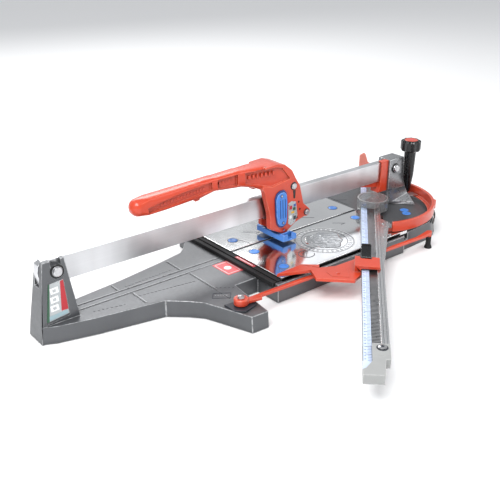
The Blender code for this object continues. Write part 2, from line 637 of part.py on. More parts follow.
def make_breaking_foot():
    axis = empty("foot_axis", (FOOT_PIN[0], 0.0, FOOT_PIN[1]), FRAME)
    beam = [
        (0.5935, 0.0570), (0.6140, 0.0560), (0.6345, 0.0570), (0.6345, 0.0610), (0.5990, 0.0610),
        (0.5980, 0.0705), (0.5935, 0.0700),
    ]
    foot = hang(side_slab("breaking_foot", beam, -0.0490, 0.0470, BLUE_PLASTIC), axis)
    lug = [(0.6045, 0.060), (0.6195, 0.060), (0.6185, 0.0805), (0.6120, 0.0835), (0.6055, 0.0805)]
    fuse(foot, side_slab("foot_lug", lug, -0.0085, 0.0085, BLUE_PLASTIC))
    wing = [
        (0.5935, 0.060), (0.6345, 0.060), (0.6345, 0.0690), (0.6250, 0.0740), (0.6130, 0.0720),
        (0.5975, 0.0725), (0.5935, 0.0700),
    ]
    for side, ends in (("right", (-0.0488, -0.0335)), ("left", (0.0295, 0.0468))):
        fuse(foot, side_slab(f"foot_wing_{side}", wing, *ends, BLUE_PLASTIC))
    cut(foot, block("wheel_room", (0.6300, 0.66), (-0.0120, 0.0120), (0.05, 0.10), BLUE_PLASTIC))
    cut(foot, crosswise("foot_bore", FOOT_PIN, [(0.0027, -0.02), (0.0027, 0.02)], BLUE_PLASTIC, sides=16))


# --- Swinging ruler -----------------------------------------------------------------------------

SWING_AXIS = empty("swing_axis", (PIVOT_X, 0.0, 0.0), FRAME, REST_ANGLE)


def make_ruler():
    """The ruler and its arc, drawn with X along the ruler from the swing axis and the arc on +Y."""
    section = [
        (RULER_FRONT, RULER_BOTTOM), (RULER_BACK, RULER_BOTTOM), (RULER_BACK, 0.0680), (0.0215, 0.0680),
        (0.0215, 0.0580), (0.0050, 0.0580), (0.0050, 0.0635), (RULER_FRONT, 0.0635),
    ]
    bar = long_slab("ruler_bar", section, RULER_FAR, RULER_END, BRIGHT_STEEL, SWING_AXIS)
    fuse(bar, upright("swing_pin", (0.0, 0.0), [(0.006, 0.008), (0.006, 0.054)], BRIGHT_STEEL, SWING_AXIS))
    strip = [(RULER_FRONT, 0.0638), (0.0045, 0.0638), (0.0045, 0.0652), (RULER_FRONT, 0.0652)]
    scale = long_slab("ruler_scale", strip, -0.150, SCALE_END, SCALE_WHITE, SWING_AXIS)
    corner = [(0.7590, 0.0060), (0.7810, -0.0066), (0.7920, -0.0200), (0.80, 0.0060)]
    cut(scale, slab("scale_corner", corner, 0.06, 0.07, SCALE_WHITE, SWING_AXIS))
    back = RULER_BACK + GAP
    head = [(0.115, back), (0.380, back), (0.300, 0.0440), (0.180, 0.0530), (0.160, 0.0570), (0.138, 0.0570)]
    slab("head_plate", head, 0.0600, 0.0655, POLISHED_ALUMINIUM, SWING_AXIS)

    wall = band(ARC_INNER, ARC_OUTER, 21.5, 166.8, 30)
    arc = slab("angle_arc", wall, ARC_BOTTOM, 0.0760, ORANGE_RED, SWING_AXIS)
    flange = band(0.1597, ARC_INNER + 0.003, 13.5, 166.5, 30)
    fuse(arc, slab("arc_flange", flange, ARC_BOTTOM, FLANGE_TOP, ORANGE_RED, SWING_AXIS))
    pointer = [(-0.006, 0.1755), (0.006, 0.1755), (0.0, 0.1810)]
    fuse(arc, slab("arc_pointer", pointer, 0.0540, 0.0780, ORANGE_RED, SWING_AXIS))

    start = RULER_END + GAP
    cap = [
        (start, RULER_FRONT), (CAP_END, RULER_FRONT), (CAP_END - 0.002, 0.0255), (0.757, 0.0280),
        (0.754, 0.0365), (start, 0.0365),
    ]
    end = slab("ruler_end_cap", cap, RULER_BOTTOM, 0.0705, END_GREY, SWING_AXIS)
    step = [(0.69, -0.02), (0.795, -0.02), (0.784, -0.0060), (0.762, 0.0048), (0.69, 0.0048)]
    cut(end, slab("end_cap_step", step, 0.0635, 0.09, END_GREY, SWING_AXIS))

    profile = [(0.0400, 0.0560), (0.0400, 0.0825), (0.0385, 0.0840)]
    disc = upright("clear_disc", DISC, profile, CLEAR, SWING_AXIS, sides=32)
    inside = [(0.0380, 0.040), (0.0380, 0.0822)]
    cut(disc, upright("disc_inside", DISC, inside, CLEAR, SWING_AXIS, sides=32))
    bar_room = (RULER_FRONT - GAP, RULER_BACK + GAP)
    cut(disc, block("disc_bar_room", (-0.05, 0.10), bar_room, (0.04, 0.0683), CLEAR, SWING_AXIS))

    fin = [
        (-0.0180, 0.0683), (0.0110, 0.0683), (0.0110, 0.1160), (0.0060, 0.1190), (-0.0010, 0.1400),
        (-0.0060, 0.1450), (-0.0180, 0.1370),
    ]
    long_slab("far_fin", fin, RULER_FAR, RULER_FAR + 0.006, ORANGE_RED, SWING_AXIS)


def make_ruler_stop():
    arm = [
        (0.342, -0.0122), (0.386, -0.0655), (0.399, -0.1010), (0.391, -0.1430), (0.441, -0.1880),
        (0.412, -0.1180), (0.450, -0.1050), (0.449, -0.0250), (0.421, -0.0122),
    ]
    stop = slab("ruler_stop", arm, 0.0535, 0.0610, ORANGE_RED, SWING_AXIS)
    edge = RULER_FRONT - GAP
    saddle = [
        (-0.0260, 0.0535), (edge, 0.0535), (edge, 0.0683), (0.0290, 0.0683), (0.0270, 0.0745),
        (-0.0260, 0.0765),
    ]
    fuse(stop, long_slab("stop_saddle", saddle, 0.362, 0.410, ORANGE_RED, SWING_AXIS))
    seat = block("lever_seat", (0.350, 0.372), (-0.0142, 0.0102), (0.0715, 0.09), ORANGE_RED, SWING_AXIS)
    cut(stop, seat)
    axis = empty("lever_axis", (LEVER_PIN[0], 0.0, LEVER_PIN[1]), SWING_AXIS)
    round_end = arc_points(0.0032, -90, 90, 5, LEVER_PIN)
    underside, top = [(0.3180, 0.0835), (0.3300, 0.0755), (0.3560, 0.0720)], [(0.3520, 0.0815), (0.3320, 0.0895)]
    lever = underside + round_end + top
    hang(side_slab("stop_lever", lever, -0.0130, 0.0090, BLACK_PLASTIC, SWING_AXIS), axis)


# --- Clamp knob and side arm --------------------------------------------------------------------


def make_clamp():
    """The hand knob on its sleeve and rod, and the shoe that it presses down on the arc's flange."""
    axis = empty("knob_axis", (*KNOB, 0.0), FRAME)
    lobes, per_lobe, rings = 9, 6, []
    for inset, z in ((0.0035, 0.1830), (0.0, 0.1862), (0.0, 0.2070), (0.0030, 0.2110)):
        ring = []
        for i in range(lobes * per_lobe):
            angle = 2 * math.pi * i / (lobes * per_lobe)
            radius = 0.0247 + 0.0018 * math.cos(lobes * angle) - inset
            ring.append((KNOB[0] + radius * math.cos(angle), KNOB[1] + radius * math.sin(angle), z))
        rings.append(ring)
    knob = hang(loft("clamp_knob", rings, BLACK_PLASTIC), axis)
    sleeve = [(0.0038, 0.0300), (0.0038, 0.0700), (0.0072, 0.0700), (0.0130, 0.1180), (0.0146, 0.1860)]
    fuse(knob, upright("knob_sleeve", KNOB, sleeve, BLACK_PLASTIC))
    cut(knob, upright("cap_seat", KNOB, [(0.0178, 0.2090), (0.0178, 0.23)], BLACK_PLASTIC))
    cap = [(0.0175, 0.2093), (0.0175, 0.2113), (0.0155, 0.2122)]
    hang(upright("knob_cap", KNOB, cap, ORANGE_RED), axis)
    shoe_axis = empty("shoe_axis", (*KNOB, 0.0), FRAME)
    out = Vector((KNOB[0] - PIVOT_X, KNOB[1])).normalized()
    plate = []
    for reach, side in ((0.1305, -0.0090), (0.1660, -0.0110), (0.1660, 0.0110), (0.1305, 0.0090)):
        plate.append((PIVOT_X + out.x * reach - out.y * side, out.y * reach + out.x * side))
    shoe = hang(slab("clamp_shoe", plate, FLANGE_TOP + GAP, FLANGE_TOP + 0.0034, BOLT_STEEL), shoe_axis)
    cut(shoe, upright("shoe_bore", KNOB, [(0.0042, 0.04), (0.0042, 0.07)], BOLT_STEEL, sides=16))


def make_side_arm():
    axis = empty("arm_axis", (*ARM_PIVOT, 0.0), FRAME)
    px, py = ARM_PIVOT
    ex, ey = ARM_END
    low, high, far_drop = 0.0435, 0.0500, 0.0065
    boss = [(0.0150, low), (0.0150, 0.0555), (0.0135, 0.0570)]
    arm = hang(upright("side_arm", ARM_PIVOT, boss, ORANGE_RED), axis)
    shank = [
        (px, py - 0.0042), (0.880, -0.2125), (0.905, -0.2130), (ex, ey - 0.0080), (ex + 0.008, ey),
        (ex, ey + 0.0070), (0.905, -0.2000), (0.880, -0.2040), (px, py + 0.0042),
    ]
    rings = []
    for level in (low + 0.0005, high):
        rings.append([(x, y, level - far_drop * (x - px) / (ex - px)) for x, y in shank])
    fuse(arm, loft("arm_shank", rings, ORANGE_RED))
    hook = [
        (px + 0.005, py - 0.010), (px + 0.042, py - 0.016), (px + 0.047, py - 0.008), (px + 0.010, py + 0.002),
    ]
    fuse(arm, slab("arm_hook", hook, low + 0.0008, high + 0.0008, ORANGE_RED))
    drop = [(0.0062, 0.0300), (0.0068, high - far_drop - 0.0006)]
    fuse(arm, upright("arm_drop", (ex, ey), drop, ORANGE_RED, sides=16))
    cut(arm, upright("arm_bore", ARM_PIVOT, [(0.0043, 0.02), (0.0043, 0.09)], ORANGE_RED, sides=16))
    foot = [(0.0095, 0.0003), (0.0088, 0.0040), (0.0064, 0.0100), (0.0064, 0.0297)]
    hang(upright("side_arm_foot", (ex, ey), foot, BLACK_RUBBER, sides=20), axis)


make_base()
make_feet()
make_rear_post()
make_rail()
make_rail_bolts()
make_rail_stop()
make_tray_trim()
make_plates()
make_carriage()
make_handle()
make_handle_fittings()
make_scoring_wheel()
make_breaking_foot()
make_ruler()
make_ruler_stop()
make_clamp()
make_side_arm()
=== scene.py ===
import json
import math

import bmesh
import bpy
from mathutils import Matrix, Vector, noise

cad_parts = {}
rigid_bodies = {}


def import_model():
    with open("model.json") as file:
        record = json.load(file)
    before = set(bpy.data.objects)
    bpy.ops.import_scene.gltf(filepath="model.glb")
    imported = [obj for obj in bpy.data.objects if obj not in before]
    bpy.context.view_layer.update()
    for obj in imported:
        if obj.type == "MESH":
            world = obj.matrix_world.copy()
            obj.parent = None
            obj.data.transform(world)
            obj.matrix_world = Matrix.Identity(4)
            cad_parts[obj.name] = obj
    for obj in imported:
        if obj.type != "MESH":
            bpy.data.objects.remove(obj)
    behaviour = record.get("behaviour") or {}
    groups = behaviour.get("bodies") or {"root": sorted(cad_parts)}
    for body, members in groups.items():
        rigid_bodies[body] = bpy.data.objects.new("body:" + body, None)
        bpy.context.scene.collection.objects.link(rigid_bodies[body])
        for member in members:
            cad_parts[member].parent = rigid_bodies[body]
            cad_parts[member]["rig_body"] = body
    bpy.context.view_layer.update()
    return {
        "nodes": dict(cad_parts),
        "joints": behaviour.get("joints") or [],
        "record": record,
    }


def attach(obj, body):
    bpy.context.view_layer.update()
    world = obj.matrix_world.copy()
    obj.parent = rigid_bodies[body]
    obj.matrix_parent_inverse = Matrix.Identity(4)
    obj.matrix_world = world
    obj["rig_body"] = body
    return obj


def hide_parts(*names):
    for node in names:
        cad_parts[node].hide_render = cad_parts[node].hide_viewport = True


# A rail-type manual tile cutter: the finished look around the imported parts, in metres with +Z up.
# Most pieces are drawn from the tip of the nose, which stands at x = -0.68. Pieces of the swinging
# ruler are drawn from its pivot, with X along the ruler.

for thing in list(bpy.data.objects):
    bpy.data.objects.remove(thing)
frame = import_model()

JOINTS = {joint["name"]: joint for joint in frame["joints"]}
NOSE_TIP = -0.68
NOSE = Matrix.Translation((NOSE_TIP, 0.0, 0.0))
RULER_PIVOT = tuple(JOINTS["ruler_swing"]["pos_m"])
ALONG_RULER = JOINTS["stop_slide"]["axis"]
RULER_TURN = math.atan2(ALONG_RULER[1], ALONG_RULER[0])
RULER = Matrix.Translation(RULER_PIVOT) @ Matrix.Rotation(RULER_TURN, 4, "Z")
KNOB_AXIS = JOINTS["knob_turn"]["pos_m"]
KNOB = (KNOB_AXIS[0] - NOSE_TIP, KNOB_AXIS[1])
HEAD_SIDE = -0.0300  # the handle's near face
PLATE_MARK = 0.0499  # foot of what lies on the plates, just under their top
DECK_MARK = 0.0378  # foot of what lies on the nose deck
SCALE_MARK = (0.0651, 0.0654)  # foot and top of the scale's ticks
DISC_MARK = (0.0838, 0.0845)  # foot and top of the pattern on the clear cover
GRIP_FLOOR = -0.0115  # floor of the pockets in the grip


# --- Shader groups ------------------------------------------------------------------------------


def new_group(name, inputs, outputs):
    tree = bpy.data.node_groups.new(name, "ShaderNodeTree")
    for socket, kind, value in inputs:
        made = tree.interface.new_socket(socket, in_out="INPUT", socket_type=kind)
        if value is not None:
            made.default_value = value
    for socket, kind in outputs:
        tree.interface.new_socket(socket, in_out="OUTPUT", socket_type=kind)
    return tree, tree.nodes.new("NodeGroupInput"), tree.nodes.new("NodeGroupOutput")


def node(tree, kind, links=(), **settings):
    """Adds a shader node; links maps its input sockets to a value or to another node's output."""
    made = tree.nodes.new(kind)
    for key, value in settings.items():
        setattr(made, key, value)
    for socket, source in dict(links).items():
        if isinstance(source, bpy.types.NodeSocket):
            tree.links.new(source, made.inputs[socket])
        else:
            made.inputs[socket].default_value = source
    return made


def mix(tree, factor, first, second):
    made = tree.nodes.new("ShaderNodeMix")
    made.data_type = "RGBA"
    for socket, source in ((0, factor), (6, first), (7, second)):
        if isinstance(source, bpy.types.NodeSocket):
            tree.links.new(source, made.inputs[socket])
        else:
            made.inputs[socket].default_value = source
    return made.outputs[2]


def math_node(tree, operation, first, second=0.5):
    return node(tree, "ShaderNodeMath", {0: first, 1: second}, operation=operation).outputs[0]


def ramp(tree, source, low, high, to_low=0.0, to_high=1.0):
    links = {"Value": source, "From Min": low, "From Max": high, "To Min": to_low, "To Max": to_high}
    return node(tree, "ShaderNodeMapRange", links).outputs[0]


def make_coating():
    """Paint, moulded plastic or rubber: mottling, a fine grain, painted shade darkening corners and recesses,
    and edges made lighter in patches, as rubbed paint and painted highlight.
    """
    tree, given, result = new_group(
        "coating",
        [
            ("Vector", "NodeSocketVector", None), ("Colour", "NodeSocketColor", (0.5, 0.5, 0.5, 1)),
            ("Worn and lit colour", "NodeSocketColor", (0.8, 0.8, 0.8, 1)), ("Wear and highlight", "NodeSocketFloat", 0.6),
            ("Mottle", "NodeSocketFloat", 0.12), ("Roughness", "NodeSocketFloat", 0.4),
            ("Grain size", "NodeSocketFloat", 700.0), ("Grain height", "NodeSocketFloat", 0.15),
            ("Corner shade", "NodeSocketFloat", 0.6),
        ],
        [("Colour", "NodeSocketColor"), ("Roughness", "NodeSocketFloat"), ("Normal", "NodeSocketVector")],
    )
    place = given.outputs["Vector"]
    broad = node(tree, "ShaderNodeTexNoise", {"Vector": place, "Scale": 14.0, "Detail": 5.0})
    spots = node(tree, "ShaderNodeTexNoise", {"Vector": place, "Scale": 160.0, "Detail": 3.0})
    grain_links = {"Vector": place, "Scale": given.outputs["Grain size"], "Detail": 2.0}
    grain = node(tree, "ShaderNodeTexNoise", grain_links)
    shade = ramp(tree, broad.outputs[0], 0.3, 0.7, -1.0, 1.0)
    shade = math_node(tree, "MULTIPLY", shade, given.outputs["Mottle"])
    shade = math_node(tree, "ADD", shade, 1.0)
    tinted = node(tree, "ShaderNodeVectorMath", {0: given.outputs["Colour"]}, operation="SCALE")
    tree.links.new(shade, tinted.inputs["Scale"])
    # Marked edge faces turn lighter in patches: partly rubbed paint, partly painted highlight.
    edge = node(tree, "ShaderNodeAttribute", attribute_name="edge").outputs["Fac"]
    breaks = ramp(tree, spots.outputs[0], 0.35, 0.6, 0.25, 1.0)
    wear_and_highlight = math_node(tree, "MULTIPLY", edge, breaks)
    wear_and_highlight = math_node(tree, "MULTIPLY", wear_and_highlight, given.outputs["Wear and highlight"])
    worn_and_lit = mix(tree, wear_and_highlight, tinted.outputs[0], given.outputs["Worn and lit colour"])
    # Ambient occlusion darkens corners, creases and recesses towards near-black: painted shade.
    corners = node(tree, "ShaderNodeAmbientOcclusion", {"Distance": 0.014}, samples=8)
    corner_shade = ramp(tree, corners.outputs["AO"], 0.95, 0.35, 0.0, 1.0)
    corner_shade = math_node(tree, "MULTIPLY", corner_shade, given.outputs["Corner shade"])
    shaded = mix(tree, 0.82, worn_and_lit, (0.004, 0.003, 0.003, 1.0))
    tree.links.new(mix(tree, corner_shade, worn_and_lit, shaded), result.inputs["Colour"])
    rough = ramp(tree, spots.outputs[0], 0.3, 0.7, -0.05, 0.07)
    rough = math_node(tree, "ADD", rough, given.outputs["Roughness"])
    tree.links.new(rough, result.inputs["Roughness"])
    bump_links = {"Height": grain.outputs[0], "Strength": given.outputs["Grain height"], "Distance": 0.0005}
    bump = node(tree, "ShaderNodeBump", bump_links)
    tree.links.new(bump.outputs[0], result.inputs["Normal"])
    return tree


def make_brushed():
    """Ground or drawn metal: fine lines along the piece, soft clouding, and a few brighter edges as painted
    highlight.
    """
    tree, given, result = new_group(
        "brushed",
        [
            ("Vector", "NodeSocketVector", None), ("Colour", "NodeSocketColor", (0.7, 0.7, 0.7, 1)),
            ("Cloud", "NodeSocketFloat", 0.10), ("Lines", "NodeSocketFloat", 0.10),
            ("Roughness", "NodeSocketFloat", 0.3), ("Line size", "NodeSocketVector", (3.0, 400.0, 400.0)),
            ("Cloud size", "NodeSocketVector", (6.0, 6.0, 6.0)), ("Line depth", "NodeSocketFloat", 0.05),
        ],
        [("Colour", "NodeSocketColor"), ("Roughness", "NodeSocketFloat"), ("Normal", "NodeSocketVector")],
    )
    place = given.outputs["Vector"]
    clouded = node(
        tree, "ShaderNodeVectorMath", {0: place, 1: given.outputs["Cloud size"]}, operation="MULTIPLY"
    )
    stretched = node(
        tree, "ShaderNodeVectorMath", {0: place, 1: given.outputs["Line size"]}, operation="MULTIPLY"
    )
    lines = node(tree, "ShaderNodeTexNoise", {"Vector": stretched.outputs[0], "Scale": 1.0, "Detail": 3.0})
    cloud = node(tree, "ShaderNodeTexNoise", {"Vector": clouded.outputs[0], "Scale": 1.0, "Detail": 3.0})
    smears = node(tree, "ShaderNodeTexNoise", {"Vector": place, "Scale": 38.0, "Detail": 4.0})
    tone = ramp(tree, cloud.outputs[0], 0.3, 0.7, -1.0, 1.0)
    tone = math_node(tree, "MULTIPLY", tone, given.outputs["Cloud"])
    fine = ramp(tree, lines.outputs[0], 0.25, 0.75, -1.0, 1.0)
    fine = math_node(tree, "MULTIPLY", fine, given.outputs["Lines"])
    tone = math_node(tree, "ADD", tone, fine)
    # Marked edge faces are brightened by a quarter: painted highlight.
    edge = node(tree, "ShaderNodeAttribute", attribute_name="edge").outputs["Fac"]
    tone = math_node(tree, "ADD", tone, math_node(tree, "MULTIPLY", edge, 0.25))
    tone = math_node(tree, "ADD", tone, 1.0)
    tinted = node(tree, "ShaderNodeVectorMath", {0: given.outputs["Colour"]}, operation="SCALE")
    tree.links.new(tone, tinted.inputs["Scale"])
    tree.links.new(tinted.outputs[0], result.inputs["Colour"])
    rough = ramp(tree, smears.outputs[0], 0.3, 0.75, -0.02, 0.03)
    rough = math_node(tree, "ADD", rough, math_node(tree, "MULTIPLY", fine, 0.4))
    rough = math_node(tree, "ADD", rough, given.outputs["Roughness"])
    tree.links.new(rough, result.inputs["Roughness"])
    bump_links = {"Height": lines.outputs[0], "Strength": given.outputs["Line depth"], "Distance": 0.0003}
    bump = node(tree, "ShaderNodeBump", bump_links)
    tree.links.new(bump.outputs[0], result.inputs["Normal"])
    return tree


COATING = make_coating()
BRUSHED = make_brushed()


# --- Materials ----------------------------------------------------------------------------------


def material(name, group, values, principled=(), turn=0.0, centre=(0.0, 0.0, 0.0)):
    made = bpy.data.materials.new(name)
    made.use_nodes = True
    tree = made.node_tree
    shader = tree.nodes["Principled BSDF"]
    place = node(tree, "ShaderNodeTexCoord").outputs["Object"]
    mapping = node(tree, "ShaderNodeMapping", {"Vector": place}, vector_type="TEXTURE")
    mapping.inputs["Location"].default_value = centre
    mapping.inputs["Rotation"].default_value = (0.0, 0.0, turn)
    surface = node(tree, "ShaderNodeGroup", node_tree=group)
    tree.links.new(mapping.outputs[0], surface.inputs["Vector"])
    for key, value in values.items():
        surface.inputs[key].default_value = (*value, 1.0) if key.endswith("olour") else value
    tree.links.new(surface.outputs["Colour"], shader.inputs["Base Color"])
    tree.links.new(surface.outputs["Roughness"], shader.inputs["Roughness"])
    tree.links.new(surface.outputs["Normal"], shader.inputs["Normal"])
    for key, value in dict(principled).items():
        shader.inputs[key].default_value = value
    return made


def coated(name, colour, worn_and_lit, roughness, wear_and_highlight=0.6, mottle=0.10, grain=700.0, height=0.15, **principled):
    values = {
        "Colour": colour, "Worn and lit colour": worn_and_lit, "Wear and highlight": wear_and_highlight, "Mottle": mottle, "Roughness": roughness,
        "Grain size": grain, "Grain height": height, "Corner shade": 0.6,
    }
    extra = {key.replace("_", " ").title(): value for key, value in principled.items()}
    return material(name, COATING, values, extra)


def metal(name, colour, roughness, size, cloud=0.08, lines=0.08, turn=0.0, depth=0.05, patch=(6.0, 6.0, 6.0)):
    values = {
        "Colour": colour, "Roughness": roughness, "Cloud": cloud, "Lines": lines, "Line size": size,
        "Line depth": depth, "Cloud size": patch,
    }
    centre = RULER_PIVOT if turn else (0.0, 0.0, 0.0)
    return material(name, BRUSHED, values, {"Metallic": 1.0}, turn, centre)


MATS = {
    "cast_grey": coated(
        "cast grey paint", (0.105, 0.109, 0.116), (0.46, 0.47, 0.48), 0.34, 0.9, 0.10, 520.0, 0.22,
        metallic=0.45, coat_weight=0.15, coat_roughness=0.3,
    ),
    "post_grey": coated(
        "post grey paint", (0.27, 0.275, 0.285), (0.70, 0.71, 0.72), 0.30, 0.8, 0.06, 420.0, 0.06,
        metallic=0.7, coat_weight=0.2, coat_roughness=0.25,
    ),
    # The rail's clouding is strong and stretched along X into vertical light and dark bands: painted
    # reflection bands.
    "bright_steel": metal(
        "drawn rail metal", (0.60, 0.605, 0.62), 0.30, (1.2, 420.0, 420.0), 0.20, 0.02, 0.0, 0.006, (
            9.0, 0.5, 2.0
        )
    ),
    "ruler_metal": metal(
        "ruler metal", (0.66, 0.665, 0.67), 0.26, (1.5, 300.0, 300.0), 0.10, 0.05, RULER_TURN, 0.03, (
            8.0, 2.0, 2.0
        )
    ),
    "polished_aluminium": metal(
        "polished plate metal", (0.74, 0.745, 0.75), 0.12, (380.0, 2.5, 380.0), 0.06, 0.03, 0.0, 0.015
    ),
    "bolt_steel": metal("bolt steel", (0.55, 0.55, 0.56), 0.30, (120.0, 120.0, 120.0), 0.10, 0.10),
    "black_rubber": coated(
        "black rubber", (0.008, 0.008, 0.009), (0.07, 0.07, 0.07), 0.72, 0.5, 0.2, 420.0, 0.5
    ),
    "black_plastic": coated(
        "black plastic", (0.003, 0.003, 0.0035), (0.05, 0.05, 0.052), 0.24, 0.5, 0.2, 640.0, 0.08
    ),
    "orange_red": coated(
        "orange red paint", (0.58, 0.048, 0.014), (0.76, 0.20, 0.12), 0.33, 0.55, 0.06, 620.0, 0.16,
        coat_weight=0.35, coat_roughness=0.18,
    ),
    "salmon": coated(
        "salmon paint", (0.72, 0.24, 0.19), (0.88, 0.50, 0.42), 0.36, 0.5, 0.10, 620.0, 0.16, coat_weight=0.2
    ),
    "relief": coated(
        "relief", (0.56, 0.57, 0.58), (0.9, 0.9, 0.9), 0.20, 0.5, 0.35, 300.0, 0.6, metallic=1.0
    ),
    "blue_plastic": coated(
        "blue plastic", (0.060, 0.235, 0.70), (0.35, 0.52, 0.85), 0.32, 0.6, 0.08, 560.0, 0.12,
        coat_weight=0.2
    ),
    "dark_blue": coated("dark blue plastic", (0.012, 0.045, 0.20), (0.10, 0.20, 0.50), 0.36, 0.5),
    "scale_white": coated(
        "scale strip", (0.60, 0.70, 0.90), (0.85, 0.88, 0.95), 0.30, 0.4, 0.05, 800.0, 0.05, coat_weight=0.3
    ),
    "end_grey": coated("end cap grey", (0.33, 0.335, 0.33), (0.58, 0.58, 0.57), 0.42, 0.6, 0.08, 480.0, 0.25),
    "label_white": coated("label white", (0.80, 0.81, 0.82), (0.9, 0.9, 0.9), 0.32, 0.3, 0.04, 900.0, 0.04),
    "label_silver": coated(
        "label silver", (0.45, 0.47, 0.48), (0.7, 0.7, 0.7), 0.30, 0.3, 0.14, 900.0, 0.05, metallic=0.5
    ),
    "label_red": coated("label red", (0.45, 0.020, 0.030), (0.7, 0.2, 0.2), 0.34, 0.3, 0.08, 900.0, 0.04),
    "label_pink": coated("label rose", (0.66, 0.075, 0.085), (0.8, 0.3, 0.3), 0.36, 0.3, 0.06, 900.0, 0.04),
    "label_green": coated("label green", (0.025, 0.10, 0.05), (0.2, 0.3, 0.2), 0.36, 0.3, 0.1, 900.0, 0.04),
    "label_yellow": coated("label yellow", (0.75, 0.42, 0.03), (0.8, 0.6, 0.3), 0.34, 0.3, 0.1, 900.0, 0.04),
    "label_blue_grey": coated(
        "label grey blue", (0.30, 0.42, 0.46), (0.6, 0.6, 0.6), 0.34, 0.3, 0.1, 900.0, 0.04
    ),
    "print_dark": coated("dark print", (0.030, 0.034, 0.045), (0.1, 0.1, 0.1), 0.42, 0.2, 0.1, 900.0, 0.04),
    "print_blue": coated("blue print", (0.045, 0.10, 0.33), (0.2, 0.3, 0.5), 0.40, 0.2, 0.1, 900.0, 0.04),
    "etched": coated(
        "etched mark", (0.16, 0.165, 0.175), (0.4, 0.4, 0.4), 0.55, 0.3, 0.1, 600.0, 0.2, metallic=0.6
    ),
    "frosted": coated(
        "frosted ring", (0.66, 0.67, 0.68), (0.9, 0.9, 0.9), 0.42, 0.5, 0.12, 420.0, 0.4, metallic=0.8
    ),
}


def make_clear():
    made = coated("clear plastic", (0.93, 0.95, 0.96), (1.0, 1.0, 1.0), 0.10, 0.4, 0.02, 300.0, 0.10)
    shader = made.node_tree.nodes["Principled BSDF"]
    shader.inputs["Transmission Weight"].default_value = 0.88
    shader.inputs["IOR"].default_value = 1.42
    return made


MATS["clear"] = make_clear()
SLOT_OF = {item["node"]: item["material_slot"] for item in frame["record"]["subparts"]}


# --- Making pieces ------------------------------------------------------------------------------


def settle(piece, body, look):
    """Gives a finished piece its material, its shading and its body."""
    mesh = piece.data
    mesh.materials.clear()
    mesh.materials.append(MATS[look])
    if not mesh.has_custom_normals:
        mesh.shade_smooth()
        mesh.set_sharp_from_angle(angle=math.radians(38))
    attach(piece, body)
    return piece


def applied(piece):
    """Turns a piece with modifiers into a plain mesh."""
    graph = bpy.context.evaluated_depsgraph_get()
    mesh = bpy.data.meshes.new_from_object(piece.evaluated_get(graph))
    piece.modifiers.clear()
    piece.data = mesh
    return piece


def weigh_edges(form, width):
    """Gives each sharp edge a bevel weight, less beside narrow faces, so that no rounding overlaps."""
    weight = form.edges.layers.float.new("bevel_weight_edge")
    for edge in form.edges:
        if len(edge.link_faces) != 2 or edge.calc_face_angle() < math.radians(30):
            continue
        spans = [
            face.calc_area() / max(side.calc_length() for side in face.edges) for face in edge.link_faces
        ]
        edge[weight] = min(1.0, 0.3 * min(spans) / width)


def bevelled(piece, width, even_faces=True):
    """Rounds the piece's weighed edges and marks the rounding, which carries the light, for rubbed edges and
    painted edge highlight.
    """
    piece.data.shade_smooth()
    while len(piece.data.materials) < 2:
        piece.data.materials.append(MATS["bolt_steel"])
    edge = piece.modifiers.new("edge", "BEVEL")
    edge.width = width
    edge.segments = 2
    edge.limit_method = "WEIGHT"
    edge.use_clamp_overlap = False
    edge.material = 1
    if even_faces:
        even = piece.modifiers.new("even shading", "WEIGHTED_NORMAL")
        even.weight = 90
    applied(piece)
    mark = piece.data.attributes.new("edge", "FLOAT", "FACE")
    mark.data.foreach_set("value", [float(face.material_index > 0) for face in piece.data.polygons])
    for face in piece.data.polygons:
        face.material_index = 0
    return piece


def sink(piece, low, high):
    """Cuts a box, given by two corners from the nose, out of a piece."""
    form = bmesh.new()
    bmesh.ops.create_cube(form, size=1.0)
    middle, size = (Vector(low) + Vector(high)) / 2, Vector(high) - Vector(low)
    bmesh.ops.transform(
        form, matrix=NOSE @ Matrix.Translation(middle) @ Matrix.Diagonal((*size, 1.0)), verts=form.verts
    )
    mesh = bpy.data.meshes.new("pocket")
    form.to_mesh(mesh)
    form.free()
    cutter = bpy.data.objects.new("pocket", mesh)
    bpy.context.collection.objects.link(cutter)
    step = piece.modifiers.new("pocket", "BOOLEAN")
    step.operation = "DIFFERENCE"
    step.solver = "EXACT"
    step.object = cutter
    applied(piece)
    bpy.data.objects.remove(cutter)


CURVED = ("rear_post", "clear_disc")


def dress(name, look, width, pockets=()):
    """A finished copy of a frame part: welded, its flat faces rejoined, pocketed, and its edges rounded."""
    source = frame["nodes"][name]
    form = bmesh.new()
    form.from_mesh(source.data)
    bmesh.ops.remove_doubles(form, verts=form.verts, dist=2e-5)
    bmesh.ops.dissolve_limit(form, angle_limit=math.radians(0.6), verts=form.verts, edges=form.edges)
    mesh = bpy.data.meshes.new(f"{name}_finish")
    form.to_mesh(mesh)
    piece = bpy.data.objects.new(f"{name}_finish", mesh)
    bpy.context.collection.objects.link(piece)
    for low, high in pockets:
        sink(piece, low, high)
    form.clear()
    form.from_mesh(piece.data)
    weigh_edges(form, width)
    bmesh.ops.triangulate(form, faces=[face for face in form.faces if len(face.verts) > 8])
    form.to_mesh(piece.data)
    form.free()
    bevelled(piece, width, name not in CURVED)
    settle(piece, source["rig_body"], look)
    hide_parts(name)
    return piece


